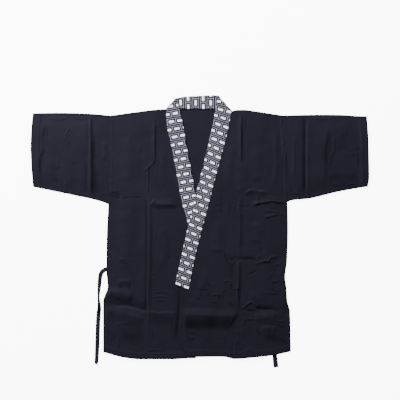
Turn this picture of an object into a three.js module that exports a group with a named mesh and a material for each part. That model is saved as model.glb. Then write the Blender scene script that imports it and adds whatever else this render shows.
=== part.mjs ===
import * as THREE from "three";

// A chef jacket cut like a kimono, laid flat on a table with its front up and its sleeves
// out. Millimetres. X runs from the wearer's right cuff to the left one, Y from the hem to
// the shoulders, Z up from the table. The origin is on the table, under the middle of the
// whole outline. The panels lie on each other: the back on the table, then the right front,
// then the left front over it, with the neckband joining them.

// Walls and clearances
const CLOTH = 1.1; // body and sleeve cloth
const HEM_WALL = 1.7; // where the cloth is turned in and stitched
const BAND_WALL = 2.2; // the neckband is folded double
const BAND_EDGE = 0.65; // share of that wall left at the band's two edges
const TAPE_WALL = 1.1;
const TAPE_WIDTH = 14;
const SEAM = 0.3; // gap between pieces that are sewn together
const BAND_SEAM = 0.45; // the same along the band, measured level across its sloping edge
const SEAT = CLOTH + SEAM; // lowest place for a piece that lies on the back

// Turned edges
const HEM_TURN = 22;
const CUFF_TURN = 28;
const TURN_STEP = 2; // distance over which the wall gets thicker

// Air between the layers
const BODY_AIR = 1.1;
const BODY_AIR_REACH = 90; // distance from a seam over which the air builds up
const SIDE_EASE = 12; // folds start this far from a side seam
const BAND_FLAT = 2; // beside the band a front keeps the band's height this far
const BAND_EASE = 60; // and has come down to its own this far from it
const SLEEVE_AIR = 1.3;
const SLEEVE_LOW_AIR = 0.4; // air at the folded edges of a sleeve
const TAPE_AIR = 1.5; // how far the tape between the layers lifts the front
const TAPE_NEAR = 18; // the whole lift reaches this far from the tape's middle
const TAPE_FAR = 46; // and there it ends
const TAPE_START = -55; // it starts at this height on the body
const TAPE_WHOLE = -95; // and is whole from here down
const OVER_LIFT = 4.5; // underside of the left front where it crosses the right one
const FOLD_LIFT = BAND_WALL + 0.4; // underside of the band where it turns over at the shoulder

const table = (columns, rows) =>
  rows.map((row) => Object.fromEntries(columns.map((name, k) => [name, row[k]])));

// Outline of the body, from the shoulder down: armhole seam, then side seam
const RIGHT_SIDE = table(
  ["y", "x"],
  [[359, -277], [84, -284], [10, -288], [-60, -289.6], [-119, -290], [-171, -286], [-216, -300],
    [-375, -300]],
);
const LEFT_SIDE = table(
  ["y", "x"],
  [[359, 258], [90, 271], [9, 273], [-90, 270], [-141, 264], [-174, 268], [-216, 271], [-246, 279],
    [-373, 282]],
);
const SHOULDER = table(
  ["x", "y"],
  [[-277, 359], [-226, 366], [-104, 379], [98, 373], [113, 376.5], [134, 377], [175, 372],
    [214, 366], [258, 359.5]],
);
const RIGHT_HEM = table(
  ["x", "y"],
  [[-300, -374], [-233, -391], [-184, -396], [-90, -396], [-34, -393], [-13, -393]],
);
const LEFT_HEM = table(
  ["x", "y"],
  [[-40, -389], [62, -388], [81, -389], [107, -395], [163, -391], [224, -384], [282, -372]],
);
const BACK_HEM = table(
  ["x", "y"],
  [[-300, -371], [-184, -393], [-34, -390], [62, -386], [163, -388], [282, -369]],
);
// Front edges below the neckband
const RIGHT_FRONT_EDGE = table(["y", "x"], [[-172, 18], [-393, -13]]);
const LEFT_FRONT_EDGE = table(
  ["y", "x"],
  [[-160, -63], [-256, -63], [-296, -68], [-330, -70], [-365, -54], [-392, -31]],
);

// Sleeves, from the armhole to the cuff: where the top fold and the under seam lie
const RIGHT_SLEEVE = table(
  ["x", "top", "under"],
  [[-277, 359, 83], [-292, 360.5, 89], [-337, 364.5, 101], [-392, 367, 112], [-447, 367.8, 123],
    [-524, 366.5, 138]],
);
const LEFT_SLEEVE = table(
  ["x", "top", "under"],
  [[258, 359.5, 88], [279, 360, 96], [333, 361.5, 101.5], [374, 362, 110], [415, 362, 120],
    [455, 361, 128], [495, 358, 134.5], [524, 357.5, 139]],
);
const RIGHT_CUFF = table(
  ["y", "x"],
  [[367, -517], [314, -522], [262, -524], [207, -522], [137, -517]],
);
const LEFT_CUFF = table(["y", "x"], [[358, 517], [276, 522], [165, 524], [139, 520]]);

// The neckband: its sewn edge, its free edge and the height of its underside. It goes up the
// right front, round the back of the neck and down the left front.
const BAND_COLUMNS = ["seamX", "seamY", "freeX", "freeY", "lift"];
const RIGHT_BAND = table(BAND_COLUMNS, [
  [18, -172, 63, -160, 1.5],
  [-37, 25, 8, 38, 1.5],
  [-57, 97, -11, 105, 1.5],
  [-73, 184, -27, 192, 1.6],
  [-88, 263, -42, 272, 1.7],
  [-104, 342, -56, 349, 2.0],
  [-104, 379, -73, 413, FOLD_LIFT],
]);
const NECK_BAND = table(BAND_COLUMNS, [
  [-104, 379, -73, 413, 0],
  [-62, 379.6, -48, 418, 0],
  [0, 379.6, 2, 421, 0],
  [49, 379.6, 42, 422.5, 0],
  [98, 373, 56, 421, 0],
]);
const LEFT_BAND = table(BAND_COLUMNS, [
  [98, 373, 56, 421, FOLD_LIFT],
  [86, 311, 38, 324, 2.7],
  [62, 219, 17, 231, 3.3],
  [42, 144, -3, 155, OVER_LIFT],
  [22, 65, -22, 76, OVER_LIFT],
  [2, -10, -40, 2, OVER_LIFT],
  [-17, -88, -57, -76, OVER_LIFT],
  [-35.5, -180.5, -76.5, -163.5, OVER_LIFT],
]);
const BAND_ACROSS = [0, 0.07, 0.5, 0.93, 1]; // places across the band
const BAND_PARTS = 5; // sections between two rows of a band table
const TURN_PARTS = 6; // sections round each turn-over at the shoulder
const TURN_OUT = { right: [-0.73, 0.68], left: [0.76, 0.65] }; // away from the neck, in plan

// Pressed folds. A positive rise is a ridge, a negative one a trough, and it falls away over
// the reach on each side: left and right of an upright fold, above and below a level one.
const UPRIGHT = ["y", "x", "rise", "left", "right"];
const LEVEL = ["x", "y", "rise", "above", "below"];
const RIGHT_FRONT_UPRIGHT = table(UPRIGHT, [
  [360, -139, 0.2, 12, 14],
  [320, -139, 1.3, 12, 14],
  [228, -139, 1.0, 12, 14],
  [203, -161, 1.0, 12, 14],
  [60, -160, 1.4, 12, 16],
  [-150, -159, 1.4, 12, 16],
  [-250, -159, 1.0, 12, 14],
  [-396, -165, 0.4, 12, 14],
]);
const LEFT_FRONT_UPRIGHT = table(UPRIGHT, [
  [365, 127, 0.4, 12, 12],
  [340, 127, 1.6, 12, 12],
  [228, 127, 1.4, 12, 12],
  [150, 126, 0.4, 14, 14],
  [-60, 122, 0.5, 14, 14],
  [-110, 121, 1.8, 14, 12],
  [-237, 120, 1.6, 14, 12],
  [-321, 104, 1.0, 12, 12],
  [-395, 101, 0.8, 12, 12],
]);
const RIGHT_FRONT_LEVEL = [
  table(LEVEL, [
    [-290, 107, 0.8, 12, 12], [-200, 106, 0.6, 12, 12], [-150, 87, 1.6, 8, 14],
    [-66, 85, 1.2, 8, 14],
  ]),
  table(LEVEL, [
    [-300, -222, -1.2, 34, 8], [-172, -249, -1.0, 26, 8], [-150, -255, 0.8, 8, 14],
    [0, -258, 0.4, 8, 14],
  ]),
];
const LEFT_FRONT_LEVEL = [
  table(LEVEL, [
    [30, 88, 0.5, 10, 12], [125, 86, 0.5, 10, 12], [155, 97, 1.4, 9, 14], [215, 92, 1.7, 9, 16],
    [270, 88, 1.4, 9, 14],
  ]),
  table(LEVEL, [
    [-20, -78, 0.1, 10, 12], [85, -80, 0.9, 10, 14], [150, -86, 1.2, 10, 14],
    [232, -78, 1.0, 10, 14], [270, -84, 0.3, 10, 12],
  ]),
  table(LEVEL, [
    [-68, -257, 1.4, 9, 20], [-50, -262, 2.4, 9, 34], [99, -262, 2.2, 9, 34],
    [124, -240, 1.4, 9, 20], [185, -231, 1.8, 9, 22], [268, -238, 1.4, 9, 18],
  ]),
];
const RIGHT_SLEEVE_UPRIGHT = table(UPRIGHT, [
  [365, -338, 1.5, 12, 14],
  [230, -338, 1.9, 12, 14],
  [101, -337, 1.2, 12, 14],
]);
const LEFT_SLEEVE_UPRIGHT = table(UPRIGHT, [
  [361, 326, 1.2, 14, 12],
  [230, 326, 1.8, 14, 12],
  [103, 327, 1.4, 14, 12],
]);
const CREASE_STEPS = [14, 5]; // rows or columns set this far from each side of a fold
const COLLAR_BEND = 290; // above this the band curves in towards the neck, and rows are closer

// How far the pieces under the left front reach towards the left side
const UNDER_REACH = table(
  ["y", "x"],
  [[374, -60], [125, -15], [38, 8], [-140, 60], [-172, 62], [-215, 24], [-393, -13]],
);
const REACH_CLEAR = 6; // the left front stays up this far past them
const REACH_FALL = 64; // and is down on the back this far past them

// Places across a sleeve's lower or upper face, and how far in from its folded edges it starts
const SLEEVE_ACROSS = [0, 0.06, 0.2, 0.4, 0.6, 0.8, 0.94, 1];
const EDGE_ROUND = 0.9;

// Cross rows of the back, each with its parts down to the next
const BACK_ROWS = table(["y", "parts"], [[340, 5], [90, 8], [-340, 2]]);

// Parts between the other guide curves of each panel
const BACK_PARTS = { neck: 2, side: 6, middle: 12 };
const RIGHT_PARTS = { shoulder: 7, collar: 5, waist: 7, hip: 3, hem: 2, side: 5, front: 6 };
const LEFT_PARTS = { shoulder: 6, collar: 5, chest: 3, waist: 3, hip: 3, hem: 2, side: 7, front: 6 };
const SLEEVE_PARTS = { armhole: 2, arm: 8, cuff: 2 };
const CROSSING_PASSES = 5; // steps to find where a row crosses a column

// Ties: centre line, how far the tape is rolled on its edge, its width as a share of the
// full one, and the height of its lowest edge
const TIE_COLUMNS = ["x", "y", "roll", "width", "low"];
const RIGHT_TIE = table(TIE_COLUMNS, [
  [-293, -118, 0, 1, 0],
  [-298, -120.5, 2, 1, 0],
  [-304.5, -127, 8, 1, 0],
  [-308.5, -138, 18, 1, 0],
  [-311, -163, 34, 1, 0],
  [-313.5, -203, 66, 1, 0],
  [-311.5, -234, 40, 1, 0],
  [-314.5, -259, 4, 1, 0],
  [-317, -324, 10, 1, 0],
  [-318.5, -368, 24, 1, 0],
  [-320, -402, 36, 1, 0],
  [-320.5, -408.5, 38, 0.8, 0],
  [-320.7, -412, 38, 0.45, 0],
]);
const LEFT_TIE = table(TIE_COLUMNS, [
  [259, -116, 0, 1, SEAT],
  [254, -160, 0, 1, SEAT],
  [243, -250, 0, 1, SEAT],
  [234, -330, 0, 1, SEAT],
  [232, -384, 0, 1.05, SEAT],
  [233, -397, 0, 1.1, 0],
  [234.6, -411, 0, 1.15, 0],
  [235.4, -418.5, 0, 1.12, 0],
  [235.8, -421.8, 0, 0.85, 0],
]);
const TIE_PARTS = 3; // sections between two rows of a tie table

const COLOURS = { cloth: 0x1e1e28, band: 0x85838e, tape: 0x1a1a22 };

// A value read from a table between its rows, smooth and with no overshoot.
function read(rows, key, column, at) {
  const last = rows.length - 1;
  const way = Math.sign(rows[last][key] - rows[0][key]);
  if ((at - rows[0][key]) * way <= 0) return rows[0][column];
  if ((at - rows[last][key]) * way >= 0) return rows[last][column];
  let i = 0;
  while ((at - rows[i + 1][key]) * way > 0) i++;
  const span = rows[i + 1][key] - rows[i][key];
  const secant = (k) => (rows[k + 1][column] - rows[k][column]) / (rows[k + 1][key] - rows[k][key]);
  const slope = (k) => {
    if (k === 0) return secant(0);
    if (k === last) return secant(last - 1);
    const before = secant(k - 1);
    const after = secant(k);
    return before * after <= 0 ? 0 : (2 * before * after) / (before + after);
  };
  const t = (at - rows[i][key]) / span;
  const ease = t * t * (3 - 2 * t);
  return (
    rows[i][column] * (1 - ease) +
    rows[i + 1][column] * ease +
    span * (slope(i) * t * (1 - t) ** 2 - slope(i + 1) * (1 - t) * t ** 2)
  );
}

const lerp = THREE.MathUtils.lerp;
const smooth = (x, low, high) => THREE.MathUtils.smoothstep(x, low, high);

// Height of a ridge or trough at a signed distance from its line.
function crest(distance, rise, before, after) {
  const share = Math.abs(distance) / (distance < 0 ? before : after);
  return share < 1 ? rise * (1 - smooth(share, 0, 1)) : 0;
}

function uprightRelief(fold, x, y) {
  const value = (column) => read(fold, "y", column, y);
  return crest(x - value("x"), value("rise"), value("left"), value("right"));
}

function levelRelief(fold, x, y) {
  const value = (column) => read(fold, "x", column, x);
  return crest(value("y") - y, value("rise"), value("above"), value("below"));
}

// Rows of a table and the smooth places between them, numbered along the table.
function drawn(rows, parts) {
  const numbered = rows.map((row, at) => ({ ...row, at }));
  const columns = Object.keys(rows[0]);
  return Array.from({ length: (rows.length - 1) * parts + 1 }, (_, k) =>
    Object.fromEntries(columns.map((name) => [name, read(numbered, "at", name, k / parts)])),
  );
}

// A value on the straight stretches between points.
function onLine(points, key, column, at) {
  const way = Math.sign(points.at(-1)[key] - points[0][key]);
  const next = points.findIndex((point) => (point[key] - at) * way >= 0);
  if (next === 0) return points[0][column];
  if (next < 0) return points.at(-1)[column];
  const [a, b] = [points[next - 1], points[next]];
  return lerp(a[column], b[column], (at - a[key]) / (b[key] - a[key]));
}

// A closed wall from sections of equal length. Each holds the points of the wall's two
// faces. The sections of a ring close on themselves, and those of a sheet end in edges.
function wallSolid(sections, ring = false) {
  const across = sections[0].face.length;
  const last = sections.length - 1;
  const faceAt = (i, j) => 2 * across * i + (j % across);
  const backAt = (i, j) => faceAt(i, j) + across;
  const triangles = [];
  const quad = (a, b, c, d) => triangles.push(a, b, c, a, c, d);
  const columns = ring ? across : across - 1;
  for (let i = 0; i < last; i++) {
    for (let j = 0; j < columns; j++) {
      quad(faceAt(i, j), faceAt(i + 1, j), faceAt(i + 1, j + 1), faceAt(i, j + 1));
      quad(backAt(i, j), backAt(i, j + 1), backAt(i + 1, j + 1), backAt(i + 1, j));
    }
    if (ring) continue;
    quad(faceAt(i + 1, 0), faceAt(i, 0), backAt(i, 0), backAt(i + 1, 0));
    quad(faceAt(i, columns), faceAt(i + 1, columns), backAt(i + 1, columns), backAt(i, columns));
  }
  for (let j = 0; j < columns; j++) {
    quad(faceAt(0, j), faceAt(0, j + 1), backAt(0, j + 1), backAt(0, j));
    quad(faceAt(last, j + 1), faceAt(last, j), backAt(last, j), backAt(last, j + 1));
  }
  const points = sections.flatMap(({ face, back }) => [...face, ...back]);
  const geometry = new THREE.BufferGeometry().setFromPoints(points);
  geometry.setIndex(signedVolume(points, triangles) < 0 ? triangles.reverse() : triangles);
  geometry.computeVertexNormals();
  return geometry;
}

function signedVolume(points, triangles) {
  let volume = 0;
  const normal = new THREE.Vector3();
  for (let k = 0; k < triangles.length; k += 3) {
    const [a, b, c] = [points[triangles[k]], points[triangles[k + 1]], points[triangles[k + 2]]];
    volume += normal.crossVectors(b, c).dot(a) / 6;
  }
  return volume;
}

// Curves between guide curves. Each guide says into how many parts the stretch up to the
// next one is divided.
function between(guides) {
  const curves = [];
  guides.forEach(({ curve, parts }, k) => {
    if (k === guides.length - 1) return curves.push(curve);
    const next = guides[k + 1].curve;
    for (let p = 0; p < parts; p++) curves.push((at) => lerp(curve(at), next(at), p / parts));
  });
  return curves;
}

const shifted = (curve, by) => (at) => curve(at) + by;
const guide = (curve, parts = 1) => ({ curve, parts });

// Guides at a fold and on both sides of it. The way is -1 where the curves run downwards.
function foldGuides(curve, way, parts) {
  const before = CREASE_STEPS.map((step) => guide(shifted(curve, -way * step)));
  const after = CREASE_STEPS.toReversed().map((step) => guide(shifted(curve, way * step)));
  after[after.length - 1].parts = parts;
  return [...before, guide(curve), ...after];
}

// Sections of a panel on crossing curves: each row gives y for an x, each column x for a y.
function panelSections(rows, columns, low, wall) {
  return rows.map((row) => {
    const face = [];
    const back = [];
    for (const column of columns) {
      let y = row(0);
      let x = column(y);
      for (let pass = 0; pass < CROSSING_PASSES; pass++) {
        y = row(x);
        x = column(y);
      }
      const height = low(x, y);
      back.push(new THREE.Vector3(x, y, height));
      face.push(new THREE.Vector3(x, y, height + wall(x, y)));
    }
    return { face, back };
  });
}

// Lines of the body that more than one piece follows
const sewnEdge = (rows) =>
  drawn(rows, BAND_PARTS).map(({ seamX, seamY }) => ({ x: seamX, y: seamY }));
const RIGHT_SEWN = sewnEdge(RIGHT_BAND);
const NECK_SEWN = sewnEdge(NECK_BAND);
const LEFT_SEWN = sewnEdge(LEFT_BAND);
const LEFT_TIE_LINE = drawn(LEFT_TIE, TIE_PARTS);
const rightSide = (y) => read(RIGHT_SIDE, "y", "x", y);
const leftSide = (y) => read(LEFT_SIDE, "y", "x", y);
const shoulder = (x) => read(SHOULDER, "x", "y", x);
const rightSeam = (y) => onLine(RIGHT_SEWN, "y", "x", y) - BAND_SEAM;
const leftSeam = (y) => onLine(LEFT_SEWN, "y", "x", y) + BAND_SEAM;
const neckSeam = (x) => onLine(NECK_SEWN, "x", "y", x) - SEAM;
const rightFrontEdge = (y) => read(RIGHT_FRONT_EDGE, "y", "x", y);
const leftFrontEdge = (y) => read(LEFT_FRONT_EDGE, "y", "x", y);
const hemWall = (hem) => (x, y) =>
  lerp(HEM_WALL, CLOTH, smooth(y - read(hem, "x", "y", x), HEM_TURN - TURN_STEP, HEM_TURN));

// The back lies flat on the table. Its neckline ends at the band.
function back() {
  const neckline = (x) => {
    const inNeck = x >= NECK_BAND[0].seamX && x <= NECK_BAND.at(-1).seamX;
    return inNeck ? neckSeam(x) : shoulder(x) - SEAM;
  };
  const neckCorner = (row) => () => row.seamX;
  const rows = between([
    guide(neckline, BACK_PARTS.neck),
    ...BACK_ROWS.map(({ y, parts }) => guide(() => y, parts)),
    guide((x) => read(BACK_HEM, "x", "y", x)),
  ]);
  const columns = between([
    guide(rightSide, BACK_PARTS.side),
    guide(neckCorner(NECK_BAND[0]), BACK_PARTS.middle),
    guide(neckCorner(NECK_BAND.at(-1)), BACK_PARTS.side),
    guide(leftSide),
  ]);
  return wallSolid(panelSections(rows, columns, () => 0, () => CLOTH));
}

// Height of the band's underside at a given place along the body.
const rightBandLift = (y) => read(RIGHT_BAND, "seamY", "lift", y);
const leftBandLift = (y) => read(LEFT_BAND, "seamY", "lift", y);

function air(fromSide) {
  return BODY_AIR * smooth(fromSide, 0, BODY_AIR_REACH);
}

// The right front lies on the back, from the right side seam to the band and its front edge.
function frontRight() {
  const [chestFold, hipFold] = RIGHT_FRONT_LEVEL;
  const inner = (y) => (y > RIGHT_BAND[0].seamY ? rightSeam(y) : rightFrontEdge(y));
  const upright = (y) => read(RIGHT_FRONT_UPRIGHT, "y", "x", y);
  const level = (fold) => (x) => read(fold, "x", "y", x);
  const hem = level(RIGHT_HEM);
  const rows = between([
    guide(shifted(shoulder, -SEAM), RIGHT_PARTS.shoulder),
    guide(() => COLLAR_BEND, RIGHT_PARTS.collar),
    ...foldGuides(level(chestFold), -1, RIGHT_PARTS.waist),
    ...foldGuides(level(hipFold), -1, RIGHT_PARTS.hip),
    guide(shifted(hem, HEM_TURN)),
    guide(shifted(hem, HEM_TURN - TURN_STEP), RIGHT_PARTS.hem),
    guide(hem),
  ]);
  const columns = between([
    guide(rightSide, RIGHT_PARTS.side),
    ...foldGuides(upright, 1, RIGHT_PARTS.front),
    guide(inner),
  ]);
  const low = (x, y) => {
    const relief =
      uprightRelief(RIGHT_FRONT_UPRIGHT, x, y) +
      RIGHT_FRONT_LEVEL.reduce((sum, fold) => sum + levelRelief(fold, x, y), 0);
    const nearSide = smooth(x - rightSide(y), 0, SIDE_EASE);
    const nearBand = smooth(inner(y) - x, BAND_FLAT, BAND_EASE);
    const loose = SEAT + Math.max(0, air(x - rightSide(y)) + relief * nearSide);
    return lerp(rightBandLift(y), loose, nearBand);
  };
  return wallSolid(panelSections(rows, columns, low, hemWall(RIGHT_HEM)));
}

// The left front lies on the back at its side seam and over the right front at its edge.
function frontLeft() {
  const [chestFold, waistFold, hipFold] = LEFT_FRONT_LEVEL;
  const upright = (y) => read(LEFT_FRONT_UPRIGHT, "y", "x", y);
  const level = (fold) => (x) => read(fold, "x", "y", x);
  const hem = level(LEFT_HEM);
  const end = LEFT_BAND.at(-1);
  const slant = (end.freeY - end.seamY) / (end.seamX - end.freeX);
  const bandEnd = (x) => end.seamY - SEAM + slant * Math.max(0, end.seamX - x);
  const upperRows = between([
    guide(shifted(shoulder, -SEAM), LEFT_PARTS.shoulder),
    guide(() => COLLAR_BEND, LEFT_PARTS.collar),
    ...foldGuides(level(chestFold), -1, LEFT_PARTS.chest),
    ...foldGuides(level(waistFold), -1, LEFT_PARTS.waist),
    guide(bandEnd),
  ]);
  const lowerRows = between([
    guide(shifted(bandEnd, -SEAM), LEFT_PARTS.hem),
    ...foldGuides(level(hipFold), -1, LEFT_PARTS.hip),
    guide(shifted(hem, HEM_TURN)),
    guide(shifted(hem, HEM_TURN - TURN_STEP), LEFT_PARTS.hem),
    guide(hem),
  ]);
  const columns = (inner) =>
    between([
      guide(inner, LEFT_PARTS.front),
      ...foldGuides(upright, 1, LEFT_PARTS.side),
      guide(leftSide),
    ]);
  const low = (x, y) => {
    const relief =
      uprightRelief(LEFT_FRONT_UPRIGHT, x, y) +
      LEFT_FRONT_LEVEL.reduce((sum, fold) => sum + levelRelief(fold, x, y), 0);
    const nearSide = smooth(leftSide(y) - x, 0, SIDE_EASE);
    const fromTape = Math.abs(x - onLine(LEFT_TIE_LINE, "y", "x", y));
    const beside = 1 - smooth(fromTape, TAPE_NEAR, TAPE_FAR);
    const overTape = TAPE_AIR * beside * smooth(-y, -TAPE_START, -TAPE_WHOLE);
    const loose = SEAT + Math.max(overTape, air(leftSide(y) - x) + relief * nearSide);
    const reach = read(UNDER_REACH, "y", "x", y);
    const over = 1 - smooth(x - reach, REACH_CLEAR, REACH_FALL);
    const nearBand = 1 - smooth(x - leftSeam(y), BAND_FLAT, BAND_EASE);
    return lerp(loose, leftBandLift(y) + Math.max(0, relief), Math.max(over, nearBand));
  };
  const wall = hemWall(LEFT_HEM);
  return wallSolid([
    ...panelSections(upperRows, columns(leftSeam), low, wall),
    ...panelSections(lowerRows, columns(leftFrontEdge), low, wall),
  ]);
}

// A sleeve is a flattened tube, open at the armhole and the cuff, with its top folded.
function sleeve({ outline, armhole, cuff, fold, way }) {
  const upright = (y) => read(fold, "y", "x", y);
  const stations = between([
    guide(shifted(armhole, way * SEAM), SLEEVE_PARTS.armhole),
    ...foldGuides(upright, way, SLEEVE_PARTS.arm),
    guide(shifted(cuff, -way * CUFF_TURN)),
    guide(shifted(cuff, -way * (CUFF_TURN - TURN_STEP)), SLEEVE_PARTS.cuff),
    guide(cuff),
  ]);
  const wallAt = (x, y) => {
    const turned = smooth(way * (x - cuff(y)), -CUFF_TURN, TURN_STEP - CUFF_TURN);
    return lerp(CLOTH, HEM_WALL, turned);
  };
  const sections = stations.map((station) => {
    const topX = station(read(outline, "x", "top", armhole(0)));
    const underX = station(read(outline, "x", "under", armhole(0)));
    const top = read(outline, "x", "top", topX);
    const under = read(outline, "x", "under", underX);
    const ring = (inset) => {
      const low = [];
      const high = [];
      for (const share of SLEEVE_ACROSS) {
        const first = under + EDGE_ROUND + inset;
        const y = lerp(first, top - EDGE_ROUND - inset, share);
        const x = station(y);
        const wall = wallAt(x, y);
        const middle = 4 * share * (1 - share);
        const hollow = SLEEVE_LOW_AIR + (SLEEVE_AIR + uprightRelief(fold, x, y)) * middle;
        const side = inset ? wall : 0;
        low.push(new THREE.Vector3(x, y, side));
        high.push(new THREE.Vector3(x, y, 2 * wall + hollow - side));
      }
      const edge = (y) => {
        const x = station(y);
        return new THREE.Vector3(x, y, wallAt(x, y) + SLEEVE_LOW_AIR / 2);
      };
      return [edge(under + inset), ...low, edge(top - inset), ...high.reverse()];
    };
    return { face: ring(0), back: ring(wallAt(topX, top)) };
  });
  return wallSolid(sections, true);
}

const sleeveRight = () =>
  sleeve({
    outline: RIGHT_SLEEVE,
    armhole: rightSide,
    cuff: (y) => read(RIGHT_CUFF, "y", "x", y),
    fold: RIGHT_SLEEVE_UPRIGHT,
    way: -1,
  });

const sleeveLeft = () =>
  sleeve({
    outline: LEFT_SLEEVE,
    armhole: leftSide,
    cuff: (y) => read(LEFT_CUFF, "y", "x", y),
    fold: LEFT_SLEEVE_UPRIGHT,
    way: 1,
  });

// One section across the band. The outer face is up on the fronts and down at the neck.
function bandSection(row, faceDown) {
  const face = [];
  const back = [];
  for (const share of BAND_ACROSS) {
    const atEdge = share === 0 || share === 1;
    const wall = BAND_WALL * (atEdge ? BAND_EDGE : 1);
    const x = lerp(row.seamX, row.freeX, share);
    const y = lerp(row.seamY, row.freeY, share);
    const inner = faceDown ? BAND_WALL : row.lift;
    face.push(new THREE.Vector3(x, y, faceDown ? inner - wall : inner + wall));
    back.push(new THREE.Vector3(x, y, inner));
  }
  return { face, back };
}

const bandSections = (rows, faceDown = false) =>
  drawn(rows, BAND_PARTS).map((row) => bandSection(row, faceDown));

// The band rolls over a line at the shoulder, from its upper layer to its lower one, or back.
function turnOver(row, [outX, outY], upwards) {
  const innerRadius = (FOLD_LIFT - BAND_WALL) / 2;
  const centre = BAND_WALL + innerRadius;
  return Array.from({ length: TURN_PARTS - 1 }, (_, k) => {
    const part = (k + 1) / TURN_PARTS;
    const angle = Math.PI * (upwards ? 1 - part : part);
    const face = [];
    const back = [];
    for (const share of BAND_ACROSS) {
      const wall = BAND_WALL * (share === 0 || share === 1 ? BAND_EDGE : 1);
      const x = lerp(row.seamX, row.freeX, share);
      const y = lerp(row.seamY, row.freeY, share);
      for (const [points, radius] of [[face, innerRadius + wall], [back, innerRadius]]) {
        const out = radius * Math.sin(angle);
        const height = centre + radius * Math.cos(angle);
        points.push(new THREE.Vector3(x + outX * out, y + outY * out, height));
      }
    }
    return { face, back };
  });
}

const collar = () =>
  wallSolid([
    ...bandSections(RIGHT_BAND),
    ...turnOver(NECK_BAND[0], TURN_OUT.right, false),
    ...bandSections(NECK_BAND, true),
    ...turnOver(LEFT_BAND[0], TURN_OUT.left, true),
    ...bandSections(LEFT_BAND),
  ]);

// A flat tape along its centre line, rolled about it, with its lowest edge at a given height.
function tie(rows) {
  const line = drawn(rows, TIE_PARTS);
  const up = new THREE.Vector3(0, 0, 1);
  const sections = line.map((row, k) => {
    const before = line[Math.max(0, k - 1)];
    const after = line[Math.min(line.length - 1, k + 1)];
    const along = new THREE.Vector3(after.x - before.x, after.y - before.y, 0);
    const roll = THREE.MathUtils.degToRad(row.roll);
    const sideways = along.normalize().clone().cross(up);
    const [level, rise] = [Math.cos(roll), Math.sin(roll)];
    const across = sideways.clone().multiplyScalar(level).addScaledVector(up, rise);
    const normal = up.clone().multiplyScalar(level).addScaledVector(sideways, -rise);
    const half = (TAPE_WIDTH / 2) * row.width;
    const height = row.low + half * rise + (TAPE_WALL / 2) * level;
    const centre = new THREE.Vector3(row.x, row.y, height);
    const place = (side, off) => {
      const edge = centre.clone().addScaledVector(across, side * half);
      return edge.addScaledVector(normal, (off * TAPE_WALL) / 2);
    };
    return { face: [place(-1, 1), place(1, 1)], back: [place(-1, -1), place(1, -1)] };
  });
  return wallSolid(sections);
}

const jacket = new THREE.Group();
jacket.name = "chef_jacket";

const pieces = [
  ["back", back, COLOURS.cloth],
  ["front_right", frontRight, COLOURS.cloth],
  ["front_left", frontLeft, COLOURS.cloth],
  ["sleeve_right", sleeveRight, COLOURS.cloth],
  ["sleeve_left", sleeveLeft, COLOURS.cloth],
  ["collar", collar, COLOURS.band],
  ["tie_right", () => tie(RIGHT_TIE), COLOURS.tape],
  ["tie_left", () => tie(LEFT_TIE), COLOURS.tape],
];

for (const [name, build, color] of pieces) {
  const material = new THREE.MeshStandardMaterial({ color, roughness: 0.85, metalness: 0 });
  const mesh = new THREE.Mesh(build(), material);
  mesh.name = name;
  jacket.add(mesh);
}

export default jacket;
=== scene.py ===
"""A kimono-style chef jacket, laid flat on a pale floor with its front up.

Sizes are in millimetres and become metres when a mesh is made. X runs from the wearer's
right cuff to the left one, Y from the hem to the shoulders, Z up off the floor.
"""

import logging
import math
from dataclasses import dataclass, field
from enum import Enum
from typing import Callable, Sequence

import bpy
import numpy as np
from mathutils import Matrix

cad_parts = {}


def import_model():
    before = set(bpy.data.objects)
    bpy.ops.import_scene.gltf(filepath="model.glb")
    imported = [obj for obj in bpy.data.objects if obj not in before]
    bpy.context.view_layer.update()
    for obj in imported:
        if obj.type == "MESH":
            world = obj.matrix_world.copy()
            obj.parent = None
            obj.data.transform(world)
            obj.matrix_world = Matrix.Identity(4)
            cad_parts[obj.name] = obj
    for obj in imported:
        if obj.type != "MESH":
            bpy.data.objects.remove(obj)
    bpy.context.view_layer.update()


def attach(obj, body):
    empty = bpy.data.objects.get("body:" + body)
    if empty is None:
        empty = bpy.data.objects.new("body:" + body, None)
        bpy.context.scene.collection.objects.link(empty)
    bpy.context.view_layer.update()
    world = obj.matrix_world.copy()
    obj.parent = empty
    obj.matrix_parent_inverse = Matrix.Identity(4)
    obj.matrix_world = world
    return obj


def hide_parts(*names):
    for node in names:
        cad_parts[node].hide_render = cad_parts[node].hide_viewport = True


LOG = logging.getLogger("chef_jacket")
MM = 0.001
BODY = "root"

Array = np.ndarray
Curve = Callable[[Array], Array]


def lerp(a: float | Array, b: float | Array, share: float | Array) -> Array:
    """Mixes two values, from a at share 0 to b at share 1."""
    return a + (b - a) * share


def smooth(at: float | Array, low: float, high: float) -> Array:
    """Rises smoothly from 0 at low to 1 at high."""
    t = np.clip((at - low) / (high - low), 0.0, 1.0)
    return t * t * (3.0 - 2.0 * t)


def fade(at: float | Array, low: float, high: float) -> Array:
    """Falls smoothly from 1 at low to 0 at high."""
    return 1.0 - smooth(at, low, high)


def bell(away: Array, width: float) -> Array:
    """A smooth bump of height 1, by the distance from its middle."""
    return np.exp(-((away / width) ** 2))


def rounding(away: Array, radius: float) -> Array:
    """Height share of a quarter round, by the distance from its edge."""
    return np.sqrt(1.0 - (1.0 - np.clip(away / radius, 0.0, 1.0)) ** 2)


def distances(points: Array) -> Array:
    """Distance of each point along a line of points, from the first one."""
    return np.concatenate([[0.0], np.cumsum(np.linalg.norm(np.diff(points, axis=0), axis=1))])


def unit(rows: Array) -> Array:
    """Each row as a direction with length 1."""
    return rows / np.linalg.norm(rows, axis=1, keepdims=True)


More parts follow.
